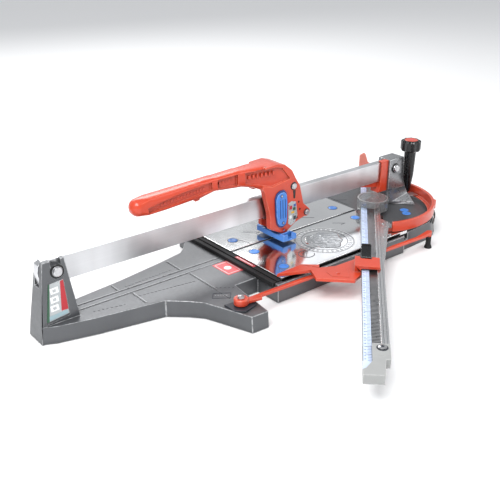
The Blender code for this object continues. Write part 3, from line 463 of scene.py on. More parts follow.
def loft(name, rings, place, body, look, bevel=0.0, slot=None):
    """A closed solid through rings of points."""
    form = bmesh.new()
    loops = [[form.verts.new(place @ Vector(point)) for point in ring] for ring in rings]
    for lower, upper in zip(loops, loops[1:]):
        for i in range(len(lower)):
            j = (i + 1) % len(lower)
            form.faces.new((lower[i], lower[j], upper[j], upper[i]))
    form.faces.new(loops[0])
    form.faces.new(loops[-1])
    bmesh.ops.recalc_face_normals(form, faces=form.faces)
    if bevel:
        weigh_edges(form, bevel)
    mesh = bpy.data.meshes.new(name)
    form.to_mesh(mesh)
    form.free()
    piece = bpy.data.objects.new(name, mesh)
    bpy.context.collection.objects.link(piece)
    if bevel:
        bevelled(piece, bevel)
    return settle(piece, body, look)


def slab(name, outline, low, high, place, body, look, bevel=0.0, **more):
    """An outline in plan, raised from low to high."""
    rings = [[(x, y, z) for x, y in outline] for z in (low, high)]
    return loft(name, rings, place, body, look, bevel, **more)


def side_slab(name, outline, y_low, y_high, place, body, look, bevel=0.0, **more):
    """An outline seen from the side, as (x, z), given a width along Y."""
    rings = [[(x, y, z) for x, z in outline] for y in (y_low, y_high)]
    return loft(name, rings, place, body, look, bevel, **more)


def circle(radius, sides):
    angles = [2 * math.pi * i / sides for i in range(sides)]
    return [(radius * math.cos(a), radius * math.sin(a)) for a in angles]


def upright(name, centre, profile, place, body, look, sides=32, **more):
    """A turned piece on a vertical axis; profile lists (radius, height)."""
    rings = [[(centre[0] + x, centre[1] + y, z) for x, y in circle(r, sides)] for r, z in profile]
    return loft(name, rings, place, body, look, **more)


def crosswise(name, centre, profile, body, look, sides=28, **more):
    """A turned piece on an axis along Y at centre (x, z); profile lists (radius, y)."""
    rings = [[(centre[0] + x, y, centre[1] + z) for x, z in circle(r, sides)] for r, y in profile]
    return loft(name, rings, NOSE, body, look, **more)


def ring_outline(inner, outer, start=0.0, end=360.0, steps=40):
    """A curved band as a pair of point rows, for a flat ring piece."""
    angles = [math.radians(start + (end - start) * i / steps) for i in range(steps + 1)]
    return [[(r * math.cos(a), r * math.sin(a)) for a in angles] for r in (inner, outer)]


def flat_band(name, centre, inner, outer, low, high, place, body, look, start=0.0, end=360.0, steps=40):
    """A raised curved band between two radii, closed all round or open at its ends."""
    near, far = ring_outline(inner, outer, start, end, steps)
    sections = []
    for (nx, ny), (fx, fy) in zip(near, far):
        cx, cy = centre
        sections.append(
            [
                (cx + nx, cy + ny, low), (cx + fx, cy + fy, low), (cx + fx, cy + fy, high),
                (cx + nx, cy + ny, high)
            ]
        )
    if end - start >= 360.0:
        sections[-1] = sections[0]
        form = bmesh.new()
        loops = [[form.verts.new(place @ Vector(p)) for p in ring] for ring in sections[:-1]]
        for i, ring in enumerate(loops):
            onward = loops[(i + 1) % len(loops)]
            for k in range(4):
                form.faces.new((ring[k], onward[k], onward[(k + 1) % 4], ring[(k + 1) % 4]))
        bmesh.ops.recalc_face_normals(form, faces=form.faces)
        mesh = bpy.data.meshes.new(name)
        form.to_mesh(mesh)
        form.free()
        piece = bpy.data.objects.new(name, mesh)
        bpy.context.collection.objects.link(piece)
        return settle(piece, body, look)
    return loft(name, sections, place, body, look)


# --- Repeated pieces ----------------------------------------------------------------------------


def make_repeat():
    """Geometry Nodes tree: copies of its mesh in a row, each stepped, turned and varied in length."""
    tree = bpy.data.node_groups.new("repeat", "GeometryNodeTree")
    sockets = {}
    for label, kind, value in (
        ("Geometry", "NodeSocketGeometry", None), ("Count", "NodeSocketInt", 10),
        ("Step", "NodeSocketVector", (0.01, 0.0, 0.0)), ("Turn", "NodeSocketFloat", 0.0),
        ("Vary", "NodeSocketFloat", 0.0), ("Seed", "NodeSocketInt", 3),
        ("Material", "NodeSocketMaterial", None),
    ):
        made = tree.interface.new_socket(label, in_out="INPUT", socket_type=kind)
        if value is not None:
            made.default_value = value
        sockets[label] = made.identifier
    tree.interface.new_socket("Geometry", in_out="OUTPUT", socket_type="NodeSocketGeometry")
    nodes, links = tree.nodes, tree.links
    given, result = nodes.new("NodeGroupInput"), nodes.new("NodeGroupOutput")
    points, index = nodes.new("GeometryNodePoints"), nodes.new("GeometryNodeInputIndex")
    links.new(given.outputs["Count"], points.inputs["Count"])
    step = nodes.new("ShaderNodeVectorMath")
    step.operation = "SCALE"
    links.new(given.outputs["Step"], step.inputs[0])
    links.new(index.outputs[0], step.inputs["Scale"])
    links.new(step.outputs[0], points.inputs["Position"])
    turn = nodes.new("ShaderNodeMath")
    turn.operation = "MULTIPLY"
    links.new(index.outputs[0], turn.inputs[0])
    links.new(given.outputs["Turn"], turn.inputs[1])
    spin = nodes.new("ShaderNodeCombineXYZ")
    links.new(turn.outputs[0], spin.inputs["Z"])
    chance = nodes.new("FunctionNodeRandomValue")
    chance.data_type = "FLOAT"
    links.new(given.outputs["Seed"], chance.inputs["Seed"])
    shorter = nodes.new("ShaderNodeMath")
    shorter.operation = "MULTIPLY_ADD"
    less = nodes.new("ShaderNodeMath")
    less.operation = "MULTIPLY"
    less.inputs[1].default_value = -1.0
    links.new(given.outputs["Vary"], less.inputs[0])
    links.new(chance.outputs[1], shorter.inputs[0])
    links.new(less.outputs[0], shorter.inputs[1])
    shorter.inputs[2].default_value = 1.0
    size = nodes.new("ShaderNodeCombineXYZ")
    links.new(shorter.outputs[0], size.inputs["X"])
    size.inputs["Y"].default_value = 1.0
    size.inputs["Z"].default_value = 1.0
    copies = nodes.new("GeometryNodeInstanceOnPoints")
    links.new(points.outputs[0], copies.inputs["Points"])
    links.new(given.outputs["Geometry"], copies.inputs["Instance"])
    links.new(spin.outputs[0], copies.inputs["Rotation"])
    links.new(size.outputs[0], copies.inputs["Scale"])
    real = nodes.new("GeometryNodeRealizeInstances")
    paint = nodes.new("GeometryNodeSetMaterial")
    links.new(copies.outputs[0], real.inputs[0])
    links.new(real.outputs[0], paint.inputs["Geometry"])
    links.new(given.outputs["Material"], paint.inputs["Material"])
    links.new(paint.outputs[0], result.inputs[0])
    return tree, sockets


REPEAT, REPEAT_SOCKETS = make_repeat()


def repeated(
    name, outline, low, high, place, body, look, count, step=(0, 0, 0), turn=0.0, vary=0.0, seed=3
):
    """A row of small raised blocks; outline, in plan, is about the row's first place."""
    form = bmesh.new()
    rings = [[form.verts.new((x, y, z)) for x, y in outline] for z in (low, high)]
    for i in range(len(outline)):
        j = (i + 1) % len(outline)
        form.faces.new((rings[0][i], rings[0][j], rings[1][j], rings[1][i]))
    form.faces.new(rings[0])
    form.faces.new(rings[1])
    bmesh.ops.recalc_face_normals(form, faces=form.faces)
    mesh = bpy.data.meshes.new(name)
    form.to_mesh(mesh)
    form.free()
    piece = bpy.data.objects.new(name, mesh)
    row = piece.modifiers.new("row", "NODES")
    row.node_group = REPEAT
    values = {"Count": count, "Step": step, "Turn": turn, "Vary": vary, "Seed": seed, "Material": MATS[look]}
    for label, value in values.items():
        row[REPEAT_SOCKETS[label]] = value
    bpy.context.collection.objects.link(piece)
    applied(piece)
    piece.data.transform(place)
    return settle(piece, body, look)


def stroke(name, start, end, width, low, high, body, look, slot=None):
    """A thin straight mark on a level face."""
    a, b = Vector(start), Vector(end)
    side = (b - a).normalized().orthogonal() * width / 2
    outline = [tuple(p) for p in (a - side, b - side, b + side, a + side)]
    return slab(name, outline, low, high, NOSE, body, look, slot=slot)


def outlined(name, corners, width, low, high, body, look):
    for i, start in enumerate(corners):
        stroke(f"{name}_{i}", start, corners[(i + 1) % len(corners)], width, low, high, body, look)


def bar_outline(length, width):
    return [(0.0, -width / 2), (length, -width / 2), (length, width / 2), (0.0, width / 2)]


# --- Frame parts in their finish ----------------------------------------------------------------

BEVELS = {
    "rail": 0.0008, "rear_post": 0.0012, "rail_stop": 0.0008, "front_strip": 0.0006, "breaking_ridge": 0.0003,
    "angle_scale": 0.0005, "carriage_plate_left": 0.0003, "carriage_plate_right": 0.0003,
    "cover_left": 0.0009,
    "cover_right": 0.0009, "breaking_foot": 0.0006, "ruler_bar": 0.0006, "ruler_end_cap": 0.0009,
    "ruler_scale": 0.0002, "head_plate": 0.0004, "angle_arc": 0.0009, "ruler_stop": 0.0006,
    "stop_lever": 0.0008,
    "far_fin": 0.0008, "clamp_knob": 0.0008, "clamp_shoe": 0.0004, "knob_cap": 0.0003, "side_arm": 0.0008,
    "side_arm_foot": 0.0005, "plate_left": 0.0006, "plate_right": 0.0006, "wheel_holder": 0.0003,
    "handle": 0.0013, "base_casting": 0.0014, "centre_pad": 0.0006, "nose_bolt": 0.0004, "rear_bolt": 0.0004,
    "handle_pivot_bolt": 0.0004, "lower_bolt": 0.0004, "nose_nut": 0.0005, "rear_nut": 0.0005,
    "handle_pivot_nut": 0.0005, "lower_nut": 0.0005, "arm_pivot_pin": 0.0004,
}
LOOKS = {
    "ruler_bar": "ruler_metal", "head_plate": "ruler_metal", "far_fin": "salmon", "breaking_ridge": "etched",
}
FOOT_POCKETS = (
    ((0.5985, -0.0460, 0.0600), (0.6310, -0.0365, 0.0800)),
    ((0.6000, -0.0335, 0.0590), (0.6315, -0.0100, 0.0800)),
    ((0.6000, 0.0100, 0.0590), (0.6315, 0.0290, 0.0800)),
    ((0.5985, 0.0325, 0.0600), (0.6310, 0.0440, 0.0800)),
    ((0.6080, -0.0600, 0.0600), (0.6200, -0.0400, 0.0800)),
)
for part in sorted(frame["nodes"]):
    look = LOOKS.get(part, SLOT_OF[part])
    if part in BEVELS:
        pockets = FOOT_POCKETS if part == "breaking_foot" else ()
        dress(part, look, BEVELS[part], pockets)
    else:
        cad = frame["nodes"][part]
        cad.data.materials.clear()
        cad.data.materials.append(MATS[look])


# --- Plates and deck ----------------------------------------------------------------------------


def make_plate_caps():
    """Round blue caps let into the plates and the rear deck, each in a thin dark ring."""
    places = [
        ("left_front", (0.519, 0.046), 0.0500, "left_plate"),
        ("left_rear", (0.848, 0.046), 0.0500, "left_plate"),
        ("right_front", (0.519, -0.034), 0.0500, "right_plate"),
        ("right_side", (0.521, -0.133), 0.0500, "right_plate"),
        ("right_rear", (0.846, -0.037), 0.0500, "right_plate"),
        ("deck_near", (0.9800, -0.0905), 0.0440, "base"),
        ("deck_far", (0.9930, -0.0720), 0.0440, "base"),
    ]
    for name, centre, top, body in places:
        flat_band(
            f"cap_ring_{name}", centre, 0.0115, 0.0129, top, top + 0.0003, NOSE, body, "etched", steps=36
        )
        profile = [
            (0.0113, top - 0.0004), (0.0113, top + 0.0004), (0.0105, top + 0.0009), (0.0070, top + 0.0012)
        ]
        profile += [(0.0066, top + 0.0009), (0.0030, top + 0.0009)]
        upright(f"cap_{name}", centre, profile, NOSE, body, "blue_plastic")


def relief_field(centre):
    """The rough raised middle of the plate's round relief, with an uneven outline."""
    rings, steps = 20, 72
    form = bmesh.new()
    rows = []
    for k in range(rings + 1):
        row = []
        for i in range(steps):
            angle = 2 * math.pi * i / steps
            edge = 0.0455 + 0.0040 * math.sin(3 * angle + 0.6) + 0.0026 * math.sin(7 * angle)
            radius = edge * (0.04 + 0.96 * k / rings)
            x, y = centre[0] + radius * math.cos(angle), centre[1] + radius * math.sin(angle)
            rough = noise.noise(Vector((x * 150, y * 150, 0.3))) + 0.5 * noise.noise(
                Vector((x * 330, y * 330, 4.1))
            )
            height = 0.0508 + 0.0009 * rough if k < rings else PLATE_MARK
            row.append(form.verts.new(NOSE @ Vector((x, y, max(height, 0.0501) if k < rings else height))))
        rows.append(row)
    for near, far in zip(rows, rows[1:]):
        for i in range(steps):
            j = (i + 1) % steps
            form.faces.new((near[i], far[i], far[j], near[j]))
    form.faces.new(rows[0])
    form.faces.new(list(reversed(rows[-1])))
    bmesh.ops.recalc_face_normals(form, faces=form.faces)
    mesh = bpy.data.meshes.new("relief_field")
    form.to_mesh(mesh)
    form.free()
    piece = bpy.data.objects.new("relief_field", mesh)
    bpy.context.collection.objects.link(piece)
    settle(piece, "right_plate", "relief")


def make_plate_marks():
    """Generic fold arrows and arcs etched in the plates, and a round relief on the right one."""
    strokes = [
        ("left_a", (0.566, 0.071), (0.600, 0.044), "left_plate"),
        ("left_b", (0.600, 0.044), (0.588, 0.044), "left_plate"),
        ("left_c", (0.735, 0.052), (0.765, 0.028), "left_plate"),
        ("left_d", (0.735, 0.052), (0.748, 0.052), "left_plate"),
        ("right_a", (0.776, -0.026), (0.800, -0.046), "right_plate"),
        ("right_b", (0.800, -0.046), (0.786, -0.046), "right_plate"),
    ]
    for name, start, end, body in strokes:
        stroke(f"stroke_{name}", start, end, 0.0014, PLATE_MARK, 0.0502, body, "print_dark")
    arc = (0.052, 0.0532, PLATE_MARK, 0.0502, NOSE)
    flat_band("left_arc_mark", (0.487, 0.010), *arc, "left_plate", "print_dark", 0, 62, 16)
    flat_band("right_arc_mark", (0.640, -0.155), *arc, "right_plate", "print_dark", 60, 150, 20)
    centre = (0.6880, -0.0880)
    rings = (
        (0.0695, 0.0715, 0.0504, "frosted"), (0.0680, 0.0690, 0.0501, "print_dark"),
        (0.0540, 0.0552, 0.0503, "etched"),
    )
    for i, (inner, outer, top, look) in enumerate(rings):
        flat_band(
            f"relief_ring_{i}", centre, inner, outer, PLATE_MARK, top, NOSE, "right_plate", look, steps=60
        )
    near = NOSE @ Matrix.Translation((*centre, 0.0))
    ticks = [(0.0575, -0.0016), (0.0655, -0.0024), (0.0655, 0.0024), (0.0575, 0.0016)]
    beads = 34
    turn = 2 * math.pi / beads
    repeated("relief_beads", ticks, PLATE_MARK, 0.0504, near, "right_plate", "frosted", beads, turn=turn)
    relief_field(centre)
    flat_band(
        "relief_tail", (0.603, -0.118), 0.0170, 0.0190, PLATE_MARK, 0.0504, NOSE, "right_plate", "etched", 60,
        330, 30
    )


def make_deck_marks():
    """Rows of short raised dashes cast in the nose deck, the plain badge and the wing's frame."""
    bar = bar_outline(0.0052, 0.0032)
    rows = (
        (0.214, 0.022, 14, 3.0), (0.112, -0.030, 8, -13.0),
        (0.216, -0.031, 15, -8.0), (0.360, -0.100, 5, -38.0),
    )
    for i, (x, y, count, angle) in enumerate(rows):
        place = NOSE @ Matrix.Translation((x, y, 0.0)) @ Matrix.Rotation(math.radians(angle), 4, "Z")
        repeated(
            f"cast_dashes_{i}", bar, DECK_MARK, 0.0385, place, "base", "cast_grey", count, (0.0088, 0, 0), 0,
            0.45, i + 2
        )
    badge = [(0.4150, -0.0125), (0.4560, -0.0125), (0.4560, -0.0730), (0.4150, -0.0730)]
    slab("nose_badge", badge, 0.0379, 0.0384, NOSE, "base", "label_pink", 0.0002)
    border = [(0.4190, -0.0175), (0.4520, -0.0175), (0.4520, -0.0680), (0.4190, -0.0680)]
    outlined("badge_border", border, 0.0012, 0.0383, 0.0386, "base", "label_white")
    upright("badge_dot", (0.4355, -0.0430), [(0.0085, 0.0383), (0.0085, 0.0386)], NOSE, "base", "label_white")
    frame_points = [(0.3400, -0.1190), (0.3700, -0.1400), (0.3560, -0.1560), (0.3260, -0.1350)]
    outlined("wing_frame", frame_points, 0.0016, DECK_MARK, 0.0384, "base", "print_dark")
    row = NOSE @ Matrix.Translation((0.3365, -0.1285, 0.0)) @ Matrix.Rotation(math.radians(-36), 4, "Z")
    repeated(
        "wing_dashes", bar_outline(0.0036, 0.0045), DECK_MARK, 0.0385, row, "base", "post_grey", 5,
        (0.0056, 0, 0), 0, 0.3, 9
    )
    bracket = [
        (0.3250, -0.1760), (0.3560, -0.1800), (0.3820, -0.1960), (0.3760, -0.2150), (0.3420, -0.2240),
        (0.3270, -0.2080)
    ]
    slab("arm_seat", bracket, DECK_MARK, 0.0415, NOSE, "base", "print_dark", 0.0006, slot="cast_grey")
    strip = [(0.4700, -0.0240), (0.4785, -0.0240), (0.4785, -0.0900), (0.4700, -0.0900)]
    slab("strip_label", strip, 0.0469, 0.0473, NOSE, "base", "label_red", 0.0001)
    row = NOSE @ Matrix.Translation((0.4742, -0.0280, 0.0)) @ Matrix.Rotation(math.radians(-90), 4, "Z")
    repeated(
        "strip_dashes", bar_outline(0.0035, 0.0028), 0.0472, 0.0474, row, "base", "label_white", 11,
        (0.0052, 0, 0), 0, 0.4, 5
    )


def make_deck_ridges():
    """The low cast ridges along the nose deck and beside its cross grooves."""
    ridges = [
        ("long_far", (0.0950, 0.0120), (0.4540, 0.0120)), ("long_near", (0.0950, -0.0070), (0.4540, -0.0070)),
        ("cross_far", (0.1945, 0.0130), (0.1945, 0.0420)),
        ("cross_near", (0.2125, -0.0120), (0.2125, -0.0660)),
        ("cross_rear", (0.3495, 0.0130), (0.3495, 0.0680)),
        ("wing_line", (0.3565, -0.0120), (0.3565, -0.1080)),
    ]
    for name, start, end in ridges:
        stroke(f"ridge_{name}", start, end, 0.0016, 0.0375, 0.0388, "base", "post_grey", slot="cast_grey")


def make_tray_details():
    """Ribs on the tray floor under the plates, and the rear deck's cast lines."""
    rib = bar_outline(0.150, 0.0024)
    for side, y in (("right", -0.165), ("left", 0.015)):
        row = NOSE @ Matrix.Translation((0.520, y, 0.0)) @ Matrix.Rotation(math.radians(90), 4, "Z")
        repeated(f"tray_ribs_{side}", rib, 0.0259, 0.0290, row, "base", "cast_grey", 8, (0.0, -0.045, 0.0))
    lines = (
        ((0.893, 0.165), (0.893, 0.060)), ((0.906, 0.150), (0.906, 0.045)), ((0.893, 0.100), (0.930, 0.075)),
    )
    for i, (start, end) in enumerate(lines):
        stroke(f"rear_line_{i}", start, end, 0.0018, 0.0438, 0.0443, "base", "print_dark")
    tick = [(0.1786, -0.0005), (0.1808, -0.0005), (0.1808, 0.0005), (0.1786, 0.0005)]
    pivot = NOSE @ Matrix.Translation((0.92, 0.0, 0.0))
    start = pivot @ Matrix.Rotation(math.radians(-62), 4, "Z")
    repeated("angle_ticks", tick, 0.0439, 0.0442, start, "base", "post_grey", 32, turn=math.radians(4))


make_deck_ridges()
make_plate_caps()
make_plate_marks()
make_deck_marks()
make_tray_details()

# --- Nose post and rail -------------------------------------------------------------------------


def post_face(x, z):
    """The point of the nose post's label recess at that place."""
    return (x, 0.0516 * z - 0.0283, z)


def post_panel(name, outline, lift, look):
    """A thin plate lying on the sloping face of the label recess."""
    back = [post_face(x, z) for x, z in outline]
    front = [(x, y - lift, z) for x, y, z in back]
    loft(name, [back, front], NOSE, "base", look, 0.0001)


def make_nose_label():
    post_panel(
        "post_label", [(0.0285, 0.1205), (0.0600, 0.1235), (0.0628, 0.0505), (0.0160, 0.0445)], 0.0004,
        "label_silver"
    )
    post_panel(
        "post_label_dark", [(0.0285, 0.1205), (0.0315, 0.1208), (0.0215, 0.0452), (0.0160, 0.0445)], 0.0006,
        "label_green"
    )
    post_panel(
        "post_label_red", [(0.0530, 0.1215), (0.0596, 0.1225), (0.0622, 0.0600), (0.0480, 0.0600)], 0.0006,
        "label_red"
    )
    post_panel(
        "post_label_foot", [(0.0225, 0.0560), (0.0600, 0.0590), (0.0615, 0.0515), (0.0215, 0.0470)], 0.0007,
        "label_blue_grey"
    )
    for i, z in enumerate((0.1115, 0.0935, 0.0760)):
        shift = 0.0300 - (0.1115 - z) * 0.10
        block = [
            (shift, z), (shift + 0.0170, z + 0.001), (shift + 0.0180, z - 0.0115),
            (shift + 0.0010, z - 0.0125)
        ]
        post_panel(f"post_label_block_{i}", block, 0.0008, "label_white")
        inner = [
            (shift + 0.0055, z - 0.0035), (shift + 0.0120, z - 0.0030), (shift + 0.0125, z - 0.0085),
            (shift + 0.0060, z - 0.0090)
        ]
        post_panel(f"post_label_core_{i}", inner, 0.0010, "label_silver")


def make_bolt_sockets():
    """Six-sided sockets in the bolt heads, and the bright ring round each post bolt."""
    heads = [
        ("nose_bolt", (0.050, 0.1425), 0.0042, -0.0280, "base"),
        ("rear_bolt", (1.006, 0.1425), 0.0042, -0.0280, "base"),
        ("handle_pivot_bolt", (0.639, 0.180), 0.0033, -0.0345, "handle"),
        ("lower_bolt", (0.682, 0.1055), 0.0029, -0.0345, "handle"),
    ]
    for name, centre, size, face, body in heads:
        crosswise(
            f"{name}_socket", centre, [(size, face + 0.0010), (size, face - 0.0001)], body, "print_dark",
            sides=6
        )
        shaft = [(size + 0.0014, face - 0.0002), (size + 0.0014, face + 0.0005)]
        crosswise(f"{name}_rim", centre, shaft, body, "bolt_steel", slot="bolt_steel")
    crosswise(
        "rear_bolt_flange", (1.006, 0.1425), [(0.0105, -0.0228), (0.0100, -0.0238)], "base", "bolt_steel"
    )
    crosswise(
        "nose_bolt_flange", (0.050, 0.1425), [(0.0108, -0.0228), (0.0102, -0.0240)], "base", "bolt_steel"
    )


make_nose_label()
make_bolt_sockets()

# --- Handle and carriage ------------------------------------------------------------------------


def make_head_details():
    """Inlay and screws of the blue cover, the small picture plate beside it, and the dark slot."""
    cover = [
        (0.5835, 0.1590), (0.5880, 0.1690), (0.5965, 0.1735), (0.6075, 0.1735), (0.6140, 0.1665),
        (0.6170, 0.1450),
        (0.6170, 0.1060), (0.6135, 0.0950), (0.6050, 0.0905), (0.5955, 0.0930), (0.5895, 0.1010),
        (0.5855, 0.1200),
    ]
    middle = Vector((0.6003, 0.1320))
    for name, grow, low, high, look in (
        ("cover_edge", 1.10, HEAD_SIDE - 0.0030, HEAD_SIDE + 0.0003, "dark_blue"),
        ("cover_inlay", 0.66, HEAD_SIDE - 0.0054, HEAD_SIDE - 0.0040, "blue_plastic"),
    ):
        outline = [tuple(middle + (Vector(p) - middle) * grow) for p in cover]
        side_slab(name, outline, low, high, NOSE, "handle", look, 0.0004, slot="blue_plastic")
    for i, centre in enumerate(((0.5990, 0.1655), (0.6050, 0.0985))):
        seat = [(0.0036, HEAD_SIDE - 0.0040), (0.0036, HEAD_SIDE - 0.0056)]
        crosswise(f"cover_screw_seat_{i}", centre, seat, "handle", "dark_blue", slot="blue_plastic")
        profile = [(0.0024, HEAD_SIDE - 0.0045), (0.0024, HEAD_SIDE - 0.0060), (0.0014, HEAD_SIDE - 0.0065)]
        crosswise(f"cover_screw_{i}", centre, profile, "handle", "bolt_steel")
    for i, x in enumerate((0.5935, 0.6010, 0.6085)):
        rib = [(x, 0.1560), (x + 0.0016, 0.1560), (x + 0.0036, 0.1100), (x + 0.0020, 0.1100)]
        side_slab(
            f"cover_groove_{i}", rib, HEAD_SIDE - 0.0057, HEAD_SIDE - 0.0050, NOSE, "handle", "dark_blue",
            slot="blue_plastic"
        )
    plate = [
        (0.6235, 0.1400), (0.6330, 0.1440), (0.6470, 0.1400), (0.6530, 0.1050), (0.6440, 0.0880),
        (0.6330, 0.0830), (0.6240, 0.0900)
    ]
    side_slab(
        "picture_plate", plate, HEAD_SIDE - 0.0006, HEAD_SIDE + 0.0002, NOSE, "handle", "label_silver",
        0.0002
    )
    patches = [
        ("a", "label_yellow", (0.6330, 0.1130), (0.0095, 0.0050)),
        ("b", "label_red", (0.6270, 0.1240), (0.0080, 0.0090)),
        ("c", "label_green", (0.6380, 0.1200), (0.0080, 0.0070)),
        ("d", "print_dark", (0.6400, 0.0960), (0.0080, 0.0090)),
        ("e", "label_white", (0.6270, 0.1010), (0.0080, 0.0080)),
        ("f", "print_blue", (0.6400, 0.1290), (0.0070, 0.0060)),
    ]
    for name, look, (x, z), (wide, tall) in patches:
        outline = [(x, z), (x + wide, z), (x + wide, z + tall), (x, z + tall)]
        side_slab(f"picture_{name}", outline, HEAD_SIDE - 0.0009, HEAD_SIDE, NOSE, "handle", look)
    crosswise(
        "pivot_seat", (0.639, 0.180), [(0.0094, HEAD_SIDE + 0.0004), (0.0094, HEAD_SIDE - 0.0004)],
        "handle", "print_dark"
    )
    crosswise(
        "lower_seat", (0.682, 0.1055), [(0.0080, HEAD_SIDE + 0.0004), (0.0080, HEAD_SIDE - 0.0003)],
        "handle", "print_dark"
    )
    for i, centre in enumerate(((0.6560, 0.1370), (0.6600, 0.1180), (0.6520, 0.0985))):
        crosswise(
            f"cheek_rivet_{i}", centre, [(0.0022, HEAD_SIDE + 0.0004), (0.0022, HEAD_SIDE - 0.0006)],
            "handle", "black_plastic"
        )
    slot = [(0.6384, 0.1686), (0.6408, 0.1484), (0.6452, 0.1484), (0.6456, 0.1686)]
    side_slab("window_fill", slot, HEAD_SIDE + 0.0004, HEAD_SIDE + 0.0014, NOSE, "handle", "black_plastic")


def make_grip_marks():
    """Short raised dashes in the pockets of the grip and the head."""
    rows = [("grip", (0.2900, 0.2135), 14, 0.0082, -5.0), ("neck", (0.4390, 0.2270), 5, 0.0082, 0.0)]
    for name, (x, z), count, step, angle in rows:
        place = NOSE @ Matrix.Translation((x, GRIP_FLOOR, z)) @ Matrix.Rotation(math.radians(angle), 4, "Y")
        place = place @ Matrix.Rotation(math.radians(90), 4, "X")
        repeated(
            f"{name}_dashes", bar_outline(0.0046, 0.0060), -0.0003, 0.0009, place, "handle", "orange_red",
            count, (step, 0, 0), 0, 0.45, 4
        )
    head = NOSE @ Matrix.Translation((0.5150, -0.0171, 0.2240)) @ Matrix.Rotation(math.radians(-9.5), 4, "Z")
    head = head @ Matrix.Rotation(math.radians(90), 4, "X")
    repeated(
        "head_dashes", bar_outline(0.0060, 0.0085), -0.0012, 0.0012, head, "handle", "orange_red", 7,
        (0.0105, 0, 0), 0, 0.4, 8
    )
    bar = [(0.3740, 0.2045), (0.3920, 0.2045), (0.3880, 0.1995), (0.3780, 0.1985)]
    side_slab("grip_tab", bar, -0.0100, 0.0100, NOSE, "handle", "orange_red", 0.0006)


make_head_details()
make_grip_marks()

# --- Swinging ruler -----------------------------------------------------------------------------


def make_ruler_details():
    """The toothed rack in the channel, the marks of the scale, screws and the dark seams."""
    rung = [(0.0, 0.0054), (0.0026, 0.0054), (0.0026, 0.0212), (0.0, 0.0212)]
    start = RULER @ Matrix.Translation((-0.150, 0.0, 0.0))
    repeated("rack_rungs", rung, 0.0578, 0.0618, start, "swing_ruler", "bolt_steel", 170, (0.0050, 0, 0))
    long_bed = [(-0.160, 0.0053), (0.704, 0.0053), (0.704, 0.0212), (-0.160, 0.0212)]
    slab("rack_bed", long_bed, 0.0579, 0.0583, RULER, "swing_ruler", "etched")
    place = RULER @ Matrix.Translation((-0.140, 0.0, 0.0))
    short = [(0.0, -0.0030), (0.0006, -0.0030), (0.0006, 0.0042), (0.0, 0.0042)]
    long_tick = [(0.0, -0.0080), (0.0009, -0.0080), (0.0009, 0.0042), (0.0, 0.0042)]
    repeated("scale_ticks", short, *SCALE_MARK, place, "swing_ruler", "print_blue", 180, (0.0050, 0, 0))
    repeated(
        "scale_ticks_long", long_tick, *SCALE_MARK, place, "swing_ruler", "print_dark", 36,
        (0.0250, 0, 0)
    )
    band = [(-0.150, -0.0114), (0.757, -0.0114), (0.757, -0.0103), (-0.150, -0.0103)]
    slab("scale_band", band, 0.0651, 0.0653, RULER, "swing_ruler", "etched")
    dots = [(0.0, -0.0085), (0.0016, -0.0085), (0.0016, -0.0052), (0.0, -0.0052)]
    repeated(
        "scale_dots", dots, *SCALE_MARK, place, "swing_ruler", "print_blue", 90, (0.0100, 0, 0), 0, 0.5,
        6
    )
    for i, (y, width) in enumerate(((0.0260, 0.0008), (0.0320, 0.0006))):
        line = [(-0.165, y), (0.704, y), (0.704, y + width), (-0.165, y + width)]
        slab(f"bar_seam_{i}", line, 0.0678, 0.0681, RULER, "swing_ruler", "print_dark")
    upright(
        "end_cap_seat", (0.7200, 0.0225), [(0.0105, 0.0700), (0.0105, 0.0711)], RULER, "swing_ruler",
        "print_dark"
    )
    upright(
        "end_cap_screw", (0.7200, 0.0225), [(0.0078, 0.0700), (0.0078, 0.0728), (0.0062, 0.0738)], RULER,
        "swing_ruler", "bolt_steel"
    )
    upright(
        "end_cap_socket", (0.7200, 0.0225), [(0.0036, 0.0732), (0.0036, 0.0740)], RULER, "swing_ruler",
        "print_dark", sides=6
    )
    lip = [(0.7075, 0.0085), (0.7440, 0.0085), (0.7440, 0.0340), (0.7075, 0.0340)]
    slab("end_cap_pad", lip, 0.0700, 0.0708, RULER, "swing_ruler", "end_grey", 0.0004)
    upright(
        "pivot_screw", (0.0, 0.0130), [(0.0085, 0.0678), (0.0085, 0.0712), (0.0070, 0.0724)], RULER,
        "swing_ruler", "bolt_steel"
    )
    upright(
        "pivot_button", (0.0290, -0.0030), [(0.0050, 0.0640), (0.0050, 0.0668), (0.0038, 0.0676)], RULER,
        "swing_ruler", "blue_plastic"
    )
    wedge = [(0.1010, 0.0370), (0.1140, 0.0370), (0.1140, 0.0430), (0.1040, 0.0430)]
    slab("head_wedge", wedge, 0.0565, 0.0675, RULER, "swing_ruler", "black_plastic", 0.0006)
    for i, u in enumerate((0.150, 0.230)):
        upright(
            f"head_screw_{i}", (u, 0.0415), [(0.0030, 0.0654), (0.0030, 0.0668), (0.0022, 0.0674)], RULER,
            "swing_ruler", "bolt_steel"
        )


def make_disc_details():
    """Bright frosted rim as painted highlight of the cover's edge, inner ring and radial ribs of the clear
    cover over the ruler's pivot.
    """
    centre = (0.0205, 0.0185)
    # The light band round the rim paints the bright edge highlight of the clear cover.
    flat_band("disc_rim", centre, 0.0366, 0.0384, *DISC_MARK, RULER, "swing_ruler", "frosted", steps=48)
    flat_band("disc_ring", centre, 0.0150, 0.0164, *DISC_MARK, RULER, "swing_ruler", "clear", steps=40)
    hub = RULER @ Matrix.Translation((*centre, 0.0))
    rib = [(0.0172, -0.0006), (0.0346, -0.0006), (0.0346, 0.0006), (0.0172, 0.0006)]
    repeated("disc_ribs", rib, *DISC_MARK, hub, "swing_ruler", "clear", 24, turn=math.radians(15))


